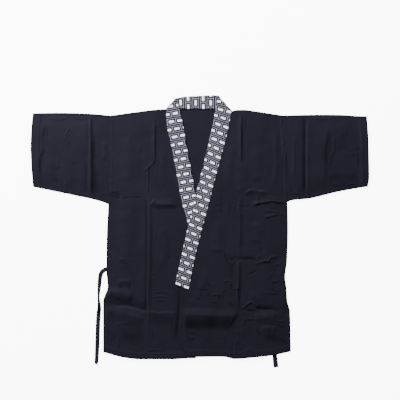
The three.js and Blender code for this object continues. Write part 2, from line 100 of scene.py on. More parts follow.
def smooth_mesh(name: str, points: Array, faces: list) -> bpy.types.Mesh:
    """A mesh with smooth faces, from points in millimetres.

    Args:
        name: Its name.
        points: A row for each point.
        faces: Rows of point numbers.

    Returns:
        The mesh.
    """
    mesh = bpy.data.meshes.new(name)
    mesh.from_pydata((points * MM).tolist(), [], faces)
    mesh.polygons.foreach_set("use_smooth", np.ones(len(mesh.polygons), dtype=bool))
    return mesh


def in_scene(name: str, data: bpy.types.ID) -> bpy.types.Object:
    """A new object in the scene.

    Args:
        name: Its name.
        data: Its mesh, light or camera.

    Returns:
        The object.
    """
    made = bpy.data.objects.new(name, data)
    bpy.context.collection.objects.link(made)
    return made


@dataclass(frozen=True)
class Table:
    """A short table with named columns, read smoothly between its rows."""

    columns: str
    rows: tuple[tuple[float, ...], ...]

    def column(self, name: str) -> Array:
        """The values of one column."""
        return np.array([row[self.columns.split().index(name)] for row in self.rows], dtype=float)

    def read(self, key: str, name: str, at: float | Array) -> Array:
        """Reads one column between the rows, where the key column has the given values."""
        return hermite(self.column(key), self.column(name), at)

    def drawn(self, parts: int) -> dict[str, Array]:
        """Reads every column along the table itself.

        Args:
            parts: Steps between two rows.

        Returns:
            The values of each column at every step.
        """
        rows = np.arange(len(self.rows), dtype=float)
        steps = np.linspace(0.0, rows[-1], (len(rows) - 1) * parts + 1)
        return {name: hermite(rows, self.column(name), steps) for name in self.columns.split()}


def hermite(keys: Array, values: Array, at: float | Array) -> Array:
    """Reads a smooth curve through points, with no overshoot.

    Args:
        keys: Places of the points, rising or falling.
        values: Values at the points.
        at: Where to read.

    Returns:
        The values there.
    """
    if keys[0] > keys[-1]:
        keys, values = keys[::-1], values[::-1]
    spans = np.diff(keys)
    secants = np.diff(values) / spans
    slopes = np.concatenate([secants[:1], np.zeros(len(keys) - 2), secants[-1:]])
    before, after = secants[:-1], secants[1:]
    same_way = before * after > 0
    total = np.where(same_way, before + after, 1.0)
    slopes[1:-1] = np.where(same_way, 2.0 * before * after / total, 0.0)
    at = np.clip(at, keys[0], keys[-1])
    row = np.clip(np.searchsorted(keys, at, side="right") - 1, 0, len(keys) - 2)
    t = (at - keys[row]) / spans[row]
    ease = t * t * (3.0 - 2.0 * t)
    bend = slopes[row] * t * (1.0 - t) ** 2 - slopes[row + 1] * (1.0 - t) * t**2
    return values[row] * (1.0 - ease) + values[row + 1] * ease + spans[row] * bend


# Walls and clearances. The cloth is thinner than in the solids and has more air under it,
# which gives its folds room.
CLOTH = 0.9
HEM_WALL = 1.6
BAND_WALL = 2.2
TAPE_WALL = 1.0
TAPE_WIDTH = 14.0
TUCK = 0.15  # how far a sewn edge runs in under its neighbour
BAND_TUCK = 0.7  # how far it runs in between the two layers of the neckband
SHORT_STEP = 0.2  # between the last row beside the band and the first one below it
SEAT = 1.4  # height of a front's underside on the back
HEM_TURN = 22.0
CUFF_TURN = 28.0
STITCH_INSET = 3.4  # a hem's stitches, from the turned edge
STITCH_DIP = 0.35
EDGE_HEM = 10.5  # the narrow hem of the left front's edge, below the band
EDGE_STITCH = 8.0
ALLOWANCE = 10.5  # seam allowance that shows through beside an armhole
ALLOWANCE_RISE = 0.55
BODY_AIR = 2.6
COVERED_AIR = 1.1  # air under the right front where the left one covers it
BODY_AIR_REACH = 70.0
LOOSE_FROM = 12.0  # distance from a side seam at which the folds have their full height
BAND_REACH = 46.0  # distance over which a front comes level with the band
BAND_SEAT = 0.2  # a front's underside above the band's
BAND_FOOT = (-175.0, -150.0)  # levels at the band's lower end, from covered cloth to open cloth
WAIST = -208.0
UNDERARM = 86.0  # the armholes start above this level
EDGE_REACH = 6.0  # width of the painted shade along the outline, where the cloth turns down
EDGE_SHADE_DEPTH = 0.5
RIM_RADIUS = 1.6  # rounding of a panel's edge
RIM_SHARE = 0.22  # share of the wall that is left at the edge itself
RIM_STEPS = (0.0, 0.35, 0.9, 1.8)  # rows of points close to an edge
INNER_STEP = 3.2
OVER_LIFT = 4.5  # the left stretch of the band, over the right front
FOLD_LIFT = 2.6  # the band's upper layer at a shoulder
TAPE_AIR = 1.5  # air over the hidden part of the left tie
PUCKER_WAVE = 3.1
PUCKER_REACH = 7.0
CREASE_FADE = 0.16  # share of a crease's length over which each end dies out
PATH_PARTS = 6  # steps between two points of a crease's path
PAINTED_SHADE_RANGE = (0.35, 1.3)

# Outline of the body, from the shoulder down: armhole seam, then side seam
RIGHT_SIDE = Table("y x", ((359, -277), (84, -284), (10, -288), (-60, -289.6), (-119, -290),
                           (-171, -286), (-216, -300), (-375, -300)))
LEFT_SIDE = Table("y x", ((359, 258), (90, 271), (9, 273), (-90, 270), (-141, 264), (-174, 268),
                          (-216, 271), (-246, 279), (-373, 282)))
SHOULDER = Table("x y", ((-277, 359), (-226, 366), (-104, 379), (98, 373), (113, 376.5), (134, 377),
                         (175, 372), (214, 366), (258, 359.5)))
RIGHT_HEM = Table("x y", ((-300, -374), (-233, -391), (-184, -396), (-90, -396), (-34, -393),
                          (-13, -393)))
LEFT_HEM = Table("x y", ((-40, -389), (62, -388), (81, -389), (107, -395), (163, -391),
                         (224, -384), (282, -372)))
BACK_HEM = Table("x y", ((-300, -371), (-184, -393), (-34, -390), (62, -386), (163, -388),
                         (282, -369)))
RIGHT_FRONT_EDGE = Table("y x", ((-172, 18), (-393, -13)))
LEFT_FRONT_EDGE = Table("y x", ((-160, -63), (-256, -63), (-296, -68), (-330, -70), (-365, -54),
                                (-392, -31)))

# Sleeves, from the armhole to the cuff
RIGHT_SLEEVE = Table("x top under", ((-277, 359, 83), (-292, 360.5, 89), (-337, 364.5, 101),
                                     (-392, 367, 112), (-447, 367.8, 123), (-524, 366.5, 138)))
LEFT_SLEEVE = Table("x top under", ((258, 359.5, 88), (279, 360, 96), (333, 361.5, 101.5),
                                    (374, 362, 110), (415, 362, 120), (455, 361, 128),
                                    (495, 358, 134.5), (524, 357.5, 139)))
RIGHT_CUFF = Table("y x", ((367, -517), (314, -522), (262, -524), (207, -522), (137, -517)))
LEFT_CUFF = Table("y x", ((358, 517), (276, 522), (165, 524), (139, 520)))

# The neckband: its sewn edge, its free edge and the height of its underside
BAND_COLUMNS = "seam_x seam_y free_x free_y lift"
RIGHT_BAND = Table(BAND_COLUMNS, (
    (18, -172, 63, -160, 1.5), (-37, 25, 8, 38, 1.5), (-57, 97, -11, 105, 1.5),
    (-73, 184, -27, 192, 1.6), (-88, 263, -42, 272, 1.7), (-104, 342, -56, 349, 2.0),
    (-104, 379, -73, 413, FOLD_LIFT)))
NECK_BAND = Table(BAND_COLUMNS, (
    (-104, 379, -73, 413, 0), (-62, 379.6, -48, 418, 0), (0, 379.6, 2, 421, 0),
    (49, 379.6, 42, 422.5, 0), (98, 373, 56, 421, 0)))
LEFT_BAND = Table(BAND_COLUMNS, (
    (98, 373, 56, 421, FOLD_LIFT), (86, 311, 38, 324, 2.7), (62, 219, 17, 231, 3.3),
    (42, 144, -3, 155, OVER_LIFT), (22, 65, -22, 76, OVER_LIFT), (2, -10, -40, 2, OVER_LIFT),
    (-17, -88, -57, -76, OVER_LIFT), (-35.5, -180.5, -76.5, -163.5, OVER_LIFT)))
# How the print slips on the band: 0 to 1 on the right front, to 2 on the neck, to 3 on the left
PRINT_SLIP = Table("place along across", (
    (0, 0, 0), (1, 0, 0), (1.1, 6, -3.4), (2, 9, -3.4), (2.04, 7.4, -5.4), (2.2, 6, -5.4),
    (2.71, 17.5, -5.4), (3, 20.5, -5.4)))
BAND_PARTS = 5  # straight stretches between two rows, as the solid band has
UNDER_REACH = Table("y x", ((374, -60), (125, -15), (38, 8), (-140, 60), (-172, 62), (-215, 24),
                            (-393, -13)))

# Ties: centre line, roll in degrees, share of the full width, height of the lowest edge
TIE_COLUMNS = "x y roll width low"
RIGHT_TIE = Table(TIE_COLUMNS, (
    (-285, -116, 0, 1, 0.7), (-293, -118, 0, 1, 0.2), (-298, -120.5, 2, 1, 0),
    (-304.5, -127, 8, 1, 0), (-308.5, -138, 18, 1, 0), (-311, -163, 34, 1, 0),
    (-313.5, -203, 66, 1, 0), (-311.5, -234, 40, 1, 0), (-314.5, -259, 4, 1, 0),
    (-317, -324, 10, 1, 0), (-318.5, -368, 24, 1, 0), (-320, -402, 36, 1, 0),
    (-320.5, -408.5, 38, 0.8, 0), (-320.7, -412, 38, 0.45, 0)))
LEFT_TIE = Table(TIE_COLUMNS, (
    (259, -116, 0, 1, SEAT), (254, -160, 0, 1, SEAT), (243, -250, 0, 1, SEAT),
    (234, -330, 0, 1, SEAT), (232, -384, 0, 1.05, SEAT), (233, -397, 0, 1.1, 0),
    (234.6, -411, 0, 1.15, 0), (235.4, -418.5, 0, 1.12, 0), (235.8, -421.8, 0, 0.85, 0)))


def sewn_line(band: Table, key: str, name: str) -> Curve:
    """The straight stretches of a band's sewn edge, as the solids have them.

    Args:
        band: One stretch of the neckband.
        key: Column that places the edge.
        name: Column that is read.

    Returns:
        A curve that gives the one for the other.
    """
    drawn = band.drawn(BAND_PARTS)
    order = np.argsort(drawn[key])
    return lambda at: np.interp(at, drawn[key][order], drawn[name][order])


RIGHT_SEWN = sewn_line(RIGHT_BAND, "seam_y", "seam_x")
LEFT_SEWN = sewn_line(LEFT_BAND, "seam_y", "seam_x")
NECK_SEWN = sewn_line(NECK_BAND, "seam_x", "seam_y")
LEFT_TIE_LINE = sewn_line(Table("y x", tuple((row[1], row[0]) for row in LEFT_TIE.rows)), "y", "x")


@dataclass(frozen=True)
class Crease:
    """One pressed or slept-in crease.

    Its path runs from left to right or from hem to shoulder. The left reach then lies above
    it or on its left, and the right reach below it or on its right.
    """

    path: tuple[tuple[float, float], ...]
    rise: float
    left: float
    right: float
    sharp: float = 0.6
    # share of the colour that painted shade takes away along the crease
    tone: float = 0.0
    uneven: float = 0.3

    def profile(self, x: Array, y: Array) -> Array:
        """The crease's form with a rise of 1.

        Args:
            x: Places of the points.
            y: Places of the points.

        Returns:
            A share from 0 to about 1 at each point.
        """
        line = self.rounded_path()
        margin = max(self.left, self.right)
        low, high = line.min(axis=0) - margin, line.max(axis=0) + margin
        near = (x > low[0]) & (x < high[0]) & (y > low[1]) & (y < high[1])
        out = np.zeros_like(x)
        if not near.any():
            return out
        px, py = x[near], y[near]
        best = np.full(px.shape, np.inf)
        side, along = np.zeros_like(px), np.zeros_like(px)
        for k, (a, b) in enumerate(zip(line[:-1], line[1:])):
            way = b - a
            t = np.clip(((px - a[0]) * way[0] + (py - a[1]) * way[1]) / way.dot(way), 0.0, 1.0)
            qx, qy = px - a[0] - t * way[0], py - a[1] - t * way[1]
            distance = np.hypot(qx, qy)
            closer = distance < best
            best[closer] = distance[closer]
            side[closer] = (way[0] * qy - way[1] * qx)[closer]
            along[closer] = ((k + t) / (len(line) - 1))[closer]
        share = np.clip(best / np.where(side > 0, self.left, self.right), 0.0, 1.0)
        peak = (1.0 - share) ** 2
        mound = fade(share, 0.0, 1.0)
        ends = smooth(along, 0.0, CREASE_FADE) * fade(along, 1.0 - CREASE_FADE, 1.0)
        phase = 0.37 * self.path[0][0] + 0.61 * self.path[0][1]
        wave = np.sin(9.0 * along + phase) + 0.6 * np.sin(21.0 * along - phase)
        waver = 1.0 + self.uneven * wave / 1.6
        out[near] = ends * waver * lerp(mound, peak, self.sharp)
        return out

    def rounded_path(self) -> Array:
        """The path with its corners rounded, as an array of points.

        Returns:
            A row for each point.
        """
        points = np.array(self.path, dtype=float)
        rows = np.arange(len(points), dtype=float)
        steps = np.linspace(0.0, rows[-1], PATH_PARTS * (len(points) - 1) + 1)
        return np.column_stack([hermite(rows, points[:, axis], steps) for axis in (0, 1)])


def relief(creases: Sequence[Crease], x: Array, y: Array) -> Array:
    """Sum of the creases' heights at each point, in millimetres."""
    return sum((crease.rise * crease.profile(x, y) for crease in creases), np.zeros_like(x))


def painted_crease_shade(creases: Sequence[Crease], x: Array, y: Array) -> Array:
    """Share of the cloth's colour left at each point by the creases' painted shade."""
    painted_shades = (crease.tone * crease.profile(x, y) for crease in creases if crease.tone)
    return np.clip(1.0 - sum(painted_shades, np.zeros_like(x)), *PAINTED_SHADE_RANGE)


def billow(x: Array, y: Array, seed: float) -> Array:
    """Slow swells of cloth that lies loose.

    Args:
        x: Places of the points.
        y: Places of the points.
        seed: Shifts the swells, so that no two pieces have the same.

    Returns:
        A height from about -1 to 1.
    """
    a = np.sin(x / 47.0 + 1.7 * np.sin(y / 83.0 + seed) + seed)
    b = np.sin(y / 61.0 + 1.3 * np.sin(x / 71.0 - seed) + 2.0 * seed)
    c = np.sin((x + 0.6 * y) / 29.0 + 1.1 * np.sin((y - 0.3 * x) / 37.0 + seed))
    return (a + b + 0.7 * c) / 2.7


def pucker(along: Array, away: Array, depth: float, seed: float) -> Array:
    """Small ripples that a seam pulls into the cloth beside it.

    Args:
        along: Distance along the seam.
        away: Distance from the seam.
        depth: Height of the ripples.
        seed: Shifts the ripples.

    Returns:
        A height in millimetres.
    """
    ripple = np.sin(along / PUCKER_WAVE + 2.2 * np.sin(along / 23.0 + seed))
    patchy = 0.55 + 0.45 * np.sin(along / 41.0 + 3.0 * seed)
    return depth * ripple * patchy * np.exp(-np.abs(away) / PUCKER_REACH)


def crease_table(*rows: tuple) -> tuple[Crease, ...]:
    """Creases from rows of rise, left reach, right reach, sharpness, tone (painted shade) and the path's
    points.
    """
    return tuple(Crease(row[5:], *row[:5]) for row in rows)


# In the crease tables a row's tone paints shade along its line; rows with no rise are only painted shade
# and shadow lines.
# Creases of the right front, which lies on the image's left
RIGHT_FRONT_CREASES = crease_table(
    # the pressed fold from the hem to the shoulder, with the groove on its left
    (1.9, 7, 12, 0.7, 0.0, (-161, -372), (-161, -250), (-160, -170), (-157, -100), (-157, 60),
     (-158, 130)),
    (-1.4, 6, 3.5, 0.5, 0.55, (-166, -300), (-166, -180), (-164, -120), (-163.5, 0), (-163.5, 96)),
    (0.0, 4, 12, 0.3, 0.2, (-155, -250), (-154, -100), (-152, 60)),
    (1.8, 5, 4, 0.7, 0.0, (-161, 118), (-161, 160), (-161, 196)),
    (0.0, 3, 3, 0.4, 0.35, (-156, 140), (-156, 200)),
    (0.0, 3, 3, 0.4, 0.3, (-168, 142), (-168, 192)),
    (1.9, 7, 3.5, 0.8, 0.3, (-171, 186), (-157, 199), (-146, 210), (-138, 223)),
    (2.2, 15, 4.5, 0.7, 0.0, (-141, 214), (-140, 250), (-140, 300), (-139, 346)),
    (0.0, 2, 4, 0.3, 0.45, (-138, 214), (-137.5, 260), (-137.5, 340)),
    (0.8, 4, 5, 0.5, 0.1, (-140, 330), (-126, 326), (-108, 323)),
    # at the level of the underarm
    (-2.2, 24, 5, 0.4, 0.4, (-292, 116), (-280, 109), (-264, 106), (-246, 99)),
    (1.1, 5, 8, 0.5, 0.0, (-284, 136), (-272, 126), (-256, 120)),
    (-0.9, 6, 5, 0.5, 0.3, (-246, 100), (-212, 104), (-170, 104)),
    (2.4, 18, 18, 0.5, 0.0, (-152, 94), (-142, 88), (-122, 85), (-96, 85), (-56, 86)),
    (0.0, 3, 14, 0.2, 0.4, (-146, 84), (-130, 80), (-100, 81), (-62, 80)),
    (0.0, 3, 4, 0.4, 0.3, (-142, 74), (-122, 70), (-98, 72)),
    (0.8, 4, 6, 0.5, 0.2, (-118, 97), (-90, 97), (-60, 96)),
    (0.6, 4, 4, 0.5, 0.25, (-103, 44), (-94, 42), (-84, 43)),
    (0.8, 4, 4, 0.5, 0.0, (-138, -26), (-138, -2)),
    (0.9, 4, 4, 0.5, 0.0, (-106, -54), (-105, -18)),
    (-0.8, 4, 4, 0.5, 0.3, (-93, -88), (-93, -56)),
    (-0.8, 5, 4, 0.5, 0.2, (-250, -80), (-250, -48)),
    (-0.8, 4, 4, 0.5, 0.2, (-217, -84), (-217, -48)),
    (1.0, 5, 7, 0.5, 0.0, (-250, -87), (-240, -85), (-230, -87)),
    (-0.6, 4, 4, 0.5, 0.2, (-250, -100), (-236, -99), (-222, -101)),
    (0.8, 4, 5, 0.5, 0.0, (-150, -126), (-142, -128), (-134, -126)),
    (0.8, 4, 5, 0.5, 0.1, (-150, -144), (-142, -147), (-132, -145)),
    (0.9, 4, 5, 0.5, 0.15, (-150, -190), (-124, -187), (-96, -190)),
    (0.9, 4, 5, 0.5, 0.15, (-150, -203), (-120, -201), (-98, -204)),
    (0.7, 4, 5, 0.5, 0.15, (-148, -215), (-124, -212), (-100, -216)),
    # the deep fold across the hips
    (1.9, 14, 22, 0.4, 0.15, (-256, -164), (-238, -155), (-212, -158)),
    (2.4, 20, 30, 0.2, 0.0, (-304, -190), (-276, -188), (-240, -192), (-206, -206)),
    (-3.0, 30, 12, 0.3, 0.0, (-306, -219), (-276, -222), (-252, -226), (-226, -228), (-199, -235),
     (-178, -241), (-162, -251)),
    (0.0, 20, 2.5, 0.4, 0.5, (-345, -216), (-306, -218), (-276, -221), (-252, -225), (-226, -227),
     (-199, -234), (-178, -240), (-164, -250)),
    (2.2, 18, 40, 0.2, 0.0, (-304, -246), (-256, -250), (-214, -260), (-170, -276)),
    (2.0, 10, 36, 0.4, 0.0, (-168, -251), (-142, -252), (-132, -255), (-88, -253), (-70, -259)),
    (0.0, 3, 5, 0.4, 0.5, (-170, -251), (-142, -254), (-128, -257), (-88, -255), (-72, -262)),
    (0.0, 6, 44, 0.2, 0.15, (-160, -268), (-110, -266), (-76, -270)),
    # painted shadow along the left front's edge, which lies over this front
    (0.0, 9, 5, 0.2, 0.85, (-76, -338), (-70, -296), (-66, -256), (-63.5, -210), (-62, -160)),
    (1.2, 5, 4, 0.6, 0.0, (-77, -322), (-80, -290), (-79, -262)),
    (0.0, 3, 3, 0.4, 0.3, (-79, -318), (-86, -292), (-86, -266)),
    # the lower right quarter by the hem
    (-1.2, 34, 34, 0.0, 0.18, (-282, -330), (-230, -336), (-166, -334)),
    (1.0, 5, 6, 0.5, 0.1, (-256, -368), (-253, -346), (-254, -326)),
    (0.9, 5, 6, 0.5, 0.0, (-292, -352), (-288, -300), (-292, -268)),
    (1.0, 5, 5, 0.5, 0.1, (-150, -336), (-149, -314), (-151, -298)),
    (0.8, 6, 6, 0.5, 0.0, (-268, -290), (-236, -284), (-222, -286)),
    (0.8, 5, 6, 0.5, 0.1, (-172, -372), (-140, -366), (-112, -368)),
    # broad unevenness of the chest and the shoulder
    (1.1, 52, 26, 0.1, 0.0, (-222, 306), (-160, 318), (-108, 326)),
    (1.2, 30, 34, 0.0, 0.0, (-232, -120), (-226, -20), (-236, 70)),
    (-0.9, 24, 22, 0.0, 0.06, (-196, -60), (-190, 10), (-198, 80)),
    (1.0, 30, 26, 0.0, 0.0, (-226, 150), (-220, 220), (-230, 300)),
    (-0.8, 20, 18, 0.0, 0.05, (-186, 130), (-182, 200), (-180, 262)),
    (0.9, 16, 18, 0.1, 0.0, (-112, 130), (-116, 190), (-112, 250)),
    (0.7, 4, 4, 0.5, 0.15, (-217, 278), (-217, 300)),
    (0.8, 4, 4, 0.5, 0.1, (-184, 244), (-183, 262)),
    (0.9, 20, 22, 0.0, 0.0, (-128, -120), (-112, -60), (-116, 20)),
)

# Creases of the left front, which lies over it on the image's right
LEFT_FRONT_CREASES = crease_table(
    # beside the armhole seam
    (0.9, 3, 3, 0.5, 0.3, (255.5, 170), (255, 210), (255, 250)),
    (0.0, 2.5, 2, 0.4, 0.4, (252.5, 172), (252, 210), (252, 246)),
    (0.0, 3, 2, 0.4, 0.35, (256, 116), (256, 132), (255.5, 148)),
    (0.0, 3, 3, 0.4, 0.3, (254, 322), (255, 336), (255, 350)),
    (0.7, 3, 3, 0.5, 0.0, (250, 322), (250, 336), (250, 350)),
    # the pressed fold from the shoulder to the hem
    (2.4, 14, 7, 0.7, 0.0, (127, 206), (127, 260), (127, 310), (128, 368)),
    (0.0, 4, 4, 0.2, 0.5, (131, 210), (131.5, 240), (131.5, 312)),
    (0.0, 3, 3, 0.3, 0.3, (131, 290), (131.5, 330), (131, 362)),
    (-0.6, 4, 4, 0.4, 0.25, (144, 312), (144, 352)),
    (0.8, 4, 4, 0.5, 0.2, (116, 188), (117, 214)),
    (1.3, 14, 40, 0.2, 0.05, (125, 112), (126, 170), (128, 222)),
    (1.0, 8, 10, 0.4, 0.1, (122, -88), (124, -10), (125, 60), (126, 120)),
    (2.6, 5, 10, 0.8, 0.0, (114, -258), (115, -190), (118, -160), (118.5, -120), (118, -78)),
    (0.0, 2.5, 10, 0.3, 0.5, (120, -240), (121.5, -190), (123.5, -150), (124, -96)),
    (0.0, 3, 2.5, 0.4, 0.4, (110.5, -252), (111, -190), (113, -140), (113, -100)),
    (-0.8, 14, 8, 0.1, 0.2, (101, -150), (104, -120), (106, -96)),
    (-0.9, 10, 4, 0.4, 0.35, (88, -222), (98, -230), (110, -239)),
    (1.6, 5, 5, 0.7, 0.0, (117, -352), (117, -330), (117, -304)),
    (0.0, 3, 3, 0.4, 0.35, (112, -350), (112.5, -306)),
    (-1.2, 3, 3, 0.5, 0.5, (100.5, -390), (101, -362), (101, -336)),
    (0.9, 8, 6, 0.4, 0.0, (108, -388), (108, -360), (109, -336)),
    # painted shade along the hemmed front edge
    (0.0, 4, 3, 0.3, 0.6, (-70, -336), (-68, -296), (-64, -256), (-63, -210), (-62, -160)),
    # small folds beside the neckband
    (-1.0, 4, 3.5, 0.5, 0.4, (68, 52), (69, 80), (68, 108)),
    (-0.9, 4, 4, 0.5, 0.4, (40, 80), (56, 79), (70, 80)),
    (-0.6, 4, 4, 0.5, 0.25, (40, 62), (54, 61), (68, 63)),
    (0.9, 5, 5, 0.5, 0.0, (84, 56), (85, 72), (84, 88)),
    (0.9, 5, 5, 0.5, 0.15, (104, 50), (105, 66), (104, 80)),
    (1.2, 5, 6, 0.5, 0.0, (119, 46), (119, 70), (119, 92)),
    # at the level of the underarm
    (-1.0, 5, 4, 0.5, 0.4, (124, 78), (138, 76), (152, 77)),
    (-0.7, 4, 3, 0.5, 0.2, (122, 94), (132, 92), (140, 93)),
    (2.5, 12, 6, 0.7, 0.0, (158, 80), (176, 86), (190, 89), (210, 92), (222, 95), (234, 93), (247, 91),
     (270, 94)),
    (0.0, 2, 4.5, 0.4, 0.55, (160, 77), (176, 82), (190, 86), (210, 88), (222, 91), (234, 90), (247, 87),
     (270, 90)),
    (0.0, 2, 10, 0.2, 0.3, (234, 84), (246, 82), (258, 84)),
    (1.4, 5, 4, 0.6, 0.3, (196, 61), (212, 63), (230, 62), (250, 61)),
    (0.9, 4, 4, 0.5, 0.25, (210, 73), (222, 74), (238, 73)),
    (1.9, 8, 4, 0.7, 0.0, (198, 44), (214, 46), (226, 49), (240, 53)),
    (0.0, 2, 4, 0.4, 0.55, (199, 40), (215, 42.5), (226, 45), (238, 49)),
    (1.2, 4, 4, 0.6, 0.35, (240, 56), (250, 54), (262, 56)),
    (2.0, 6, 20, 0.6, 0.0, (134, 113), (147, 123), (161, 129), (173, 126), (183, 123), (214, 125)),
    (0.0, 2.5, 3, 0.4, 0.5, (136, 112), (147, 120), (161, 127), (173, 124), (183, 121), (212, 122.5)),
    (0.0, 3, 26, 0.1, 0.3, (146, 118), (160, 122), (174, 118)),
    (1.0, 5, 5, 0.5, 0.1, (178, 112), (178, 96), (180, 84)),
    (1.0, 4, 5, 0.5, 0.25, (208, 106), (228, 103), (256, 102)),
    (0.9, 4, 4, 0.5, 0.25, (146, 143), (153, 140), (161, 142)),
    # at the waist
    (-1.1, 5, 5, 0.5, 0.45, (76, -60), (81, -80), (88, -99), (99, -112)),
    (1.2, 6, 6, 0.5, 0.25, (82, -60), (94, -80), (106, -86), (121, -86)),
    (-1.6, 12, 5, 0.4, 0.25, (94, -86), (119, -87), (144, -86), (178, -88)),
    (0.0, 6, 5, 0.3, 0.45, (128, -86), (150, -87), (180, -88)),
    (1.2, 5, 5, 0.6, 0.35, (174, -92), (179, -84), (186, -73)),
    (1.9, 8, 4.5, 0.7, 0.0, (158, -101), (188, -96), (204, -91), (212, -93), (221, -80), (235, -79),
     (241, -86)),
    (0.0, 2, 4.5, 0.4, 0.5, (160, -104), (188, -100), (204, -95), (213, -97), (222, -84), (235, -83),
     (240, -90)),
    (0.0, 4, 6, 0.3, 0.35, (200, -92), (206, -94), (212, -93)),
    (1.4, 5, 6, 0.6, 0.3, (230, -101), (250, -104), (268, -113)),
    (-1.3, 6, 5, 0.5, 0.45, (148, -133), (161, -131), (175, -118)),
    (-0.7, 4, 4, 0.5, 0.2, (191, -66), (191, -48)),
    (1.5, 6, 6, 0.6, 0.35, (216, -157), (236, -155), (256, -158)),
    (1.2, 5, 5, 0.5, 0.3, (222, -160), (229, -180), (240, -185), (252, -174)),
    (1.0, 4, 4, 0.5, 0.2, (241, -150), (241, -122)),
    (0.9, 4, 4, 0.5, 0.2, (208, -154), (209, -136)),
    (0.9, 4, 4, 0.5, 0.2, (218, -152), (218, -134)),
    (1.0, 5, 6, 0.5, 0.2, (206, -186), (228, -192), (250, -188)),
    # the crumpled cloth below the end of the neckband
    (1.2, 4, 5, 0.5, 0.35, (74, -164), (80, -153), (93, -155), (99, -172)),
    (1.2, 4, 5, 0.5, 0.35, (88, -166), (92, -160), (96, -180)),
    (1.1, 5, 5, 0.5, 0.35, (18, -146), (24, -158), (36, -170)),
    (1.1, 4, 4, 0.5, 0.0, (17, -202), (18, -172)),
    (1.0, 4, 4, 0.5, 0.25, (24, -202), (26, -180)),
    (1.0, 4, 4, 0.5, 0.1, (41, -178), (42, -160)),
    (1.2, 4, 5, 0.5, 0.25, (36, -200), (50, -194), (70, -198)),
    (1.3, 4, 5, 0.5, 0.2, (54, -212), (58, -196), (56, -178)),
    (1.3, 4, 5, 0.5, 0.25, (70, -210), (68, -192), (76, -178)),
    (1.0, 4, 5, 0.5, 0.2, (30, -212), (44, -218), (58, -214)),
    (-0.8, 4, 4, 0.5, 0.4, (-18, -204), (-10, -208), (0, -213)),
    # the deep fold across the hips, and painted shade below it
    (3.2, 26, 46, 0.1, 0.0, (-70, -256), (-15, -258), (29, -260), (58, -261), (99, -262), (114, -268)),
    (0.0, 3, 8, 0.3, 0.35, (-56, -260), (-15, -261), (29, -263), (58, -264), (99, -266), (112, -271)),
    (0.0, 28, 32, -0.6, 0.5, (-50, -284), (-24, -283), (30, -283), (70, -284), (116, -286)),
    (0.0, 20, 22, 0.0, 0.18, (-56, -290), (-30, -290), (8, -292)),
    (0.0, 3, 3, 0.4, 0.4, (-41, -344), (-41, -300), (-41, -258)),
    (1.0, 6, 7, 0.5, 0.25, (-40, -322), (-28, -330), (-14, -326)),
    (1.0, 6, 7, 0.5, 0.2, (-36, -306), (-24, -312), (-12, -308)),
    (-2.4, 18, 14, 0.3, 0.0, (176, -233), (190, -240), (206, -242), (235, -241), (282, -240)),
    (0.0, 16, 2.5, 0.3, 0.5, (172, -230), (186, -238), (206, -241.5), (235, -240.5), (284, -240),
     (320, -240)),
    (2.0, 14, 30, 0.2, 0.0, (166, -260), (200, -264), (240, -262)),
    (2.6, 5, 7, 0.6, 0.0, (132, -242), (143, -228), (159, -217), (173, -226), (185, -240)),
    (0.0, 4, 3, 0.3, 0.35, (142, -222), (159, -212), (173, -221), (186, -233)),
    (0.0, 7, 6, 0.2, 0.5, (136, -232), (144, -228), (152, -224)),
    (0.0, 5, 4, 0.3, 0.4, (118, -239), (130, -239), (140, -239)),
    (-1.0, 6, 4, 0.5, 0.6, (142, -243), (158, -246), (176, -243)),
    (-0.9, 4, 3.5, 0.5, 0.35, (166, -276), (166, -246)),
    (1.2, 5, 5, 0.6, 0.35, (132, -273), (152, -272), (176, -273)),
    (0.8, 4, 5, 0.5, 0.15, (172, -270), (200, -271)),
    (1.2, 5, 5, 0.5, 0.3, (134, -290), (139, -274)),
    (1.2, 5, 5, 0.5, 0.35, (172, -298), (180, -307), (190, -320)),
    (2.0, 12, 40, 0.3, 0.0, (184, -302), (210, -298), (240, -302)),
    (0.0, 18, 20, 0.0, 0.3, (192, -326), (226, -330), (264, -334)),
    (1.0, 5, 7, 0.5, 0.2, (124, -304), (132, -314), (140, -326)),
    (1.3, 5, 5, 0.5, 0.35, (234, -285), (246, -289), (262, -294)),
    (1.1, 5, 5, 0.5, 0.2, (236, -276), (250, -279), (266, -274)),
    (1.1, 5, 6, 0.5, 0.3, (242, -326), (256, -334), (270, -348)),
    (1.0, 5, 5, 0.5, 0.15, (140, -372), (150, -366), (164, -372)),
    (0.9, 5, 5, 0.5, 0.1, (74, -352), (76, -330), (75, -312)),
    # broad unevenness
    (1.5, 30, 34, 0.0, 0.0, (52, -70), (56, -20), (60, 36)),
    (-0.8, 16, 22, 0.0, 0.08, (130, -60), (134, 0), (130, 56)),
    (1.2, 24, 26, 0.0, 0.0, (174, -40), (178, 0), (174, 34)),
    (-0.8, 24, 20, 0.0, 0.08, (200, 262), (206, 290), (202, 322)),
    (1.2, 30, 26, 0.0, 0.0, (180, 150), (176, 210), (182, 262)),
    (1.0, 12, 14, 0.0, 0.0, (230, 140), (236, 220), (232, 320)),
    (1.0, 20, 18, 0.0, 0.0, (84, 130), (90, 200), (98, 270)),
    (0.9, 14, 16, 0.0, 0.0, (20, -120), (10, -160), (-14, -220)),
    (0.9, 24, 24, 0.0, 0.0, (200, -180), (180, -200), (150, -206)),
)

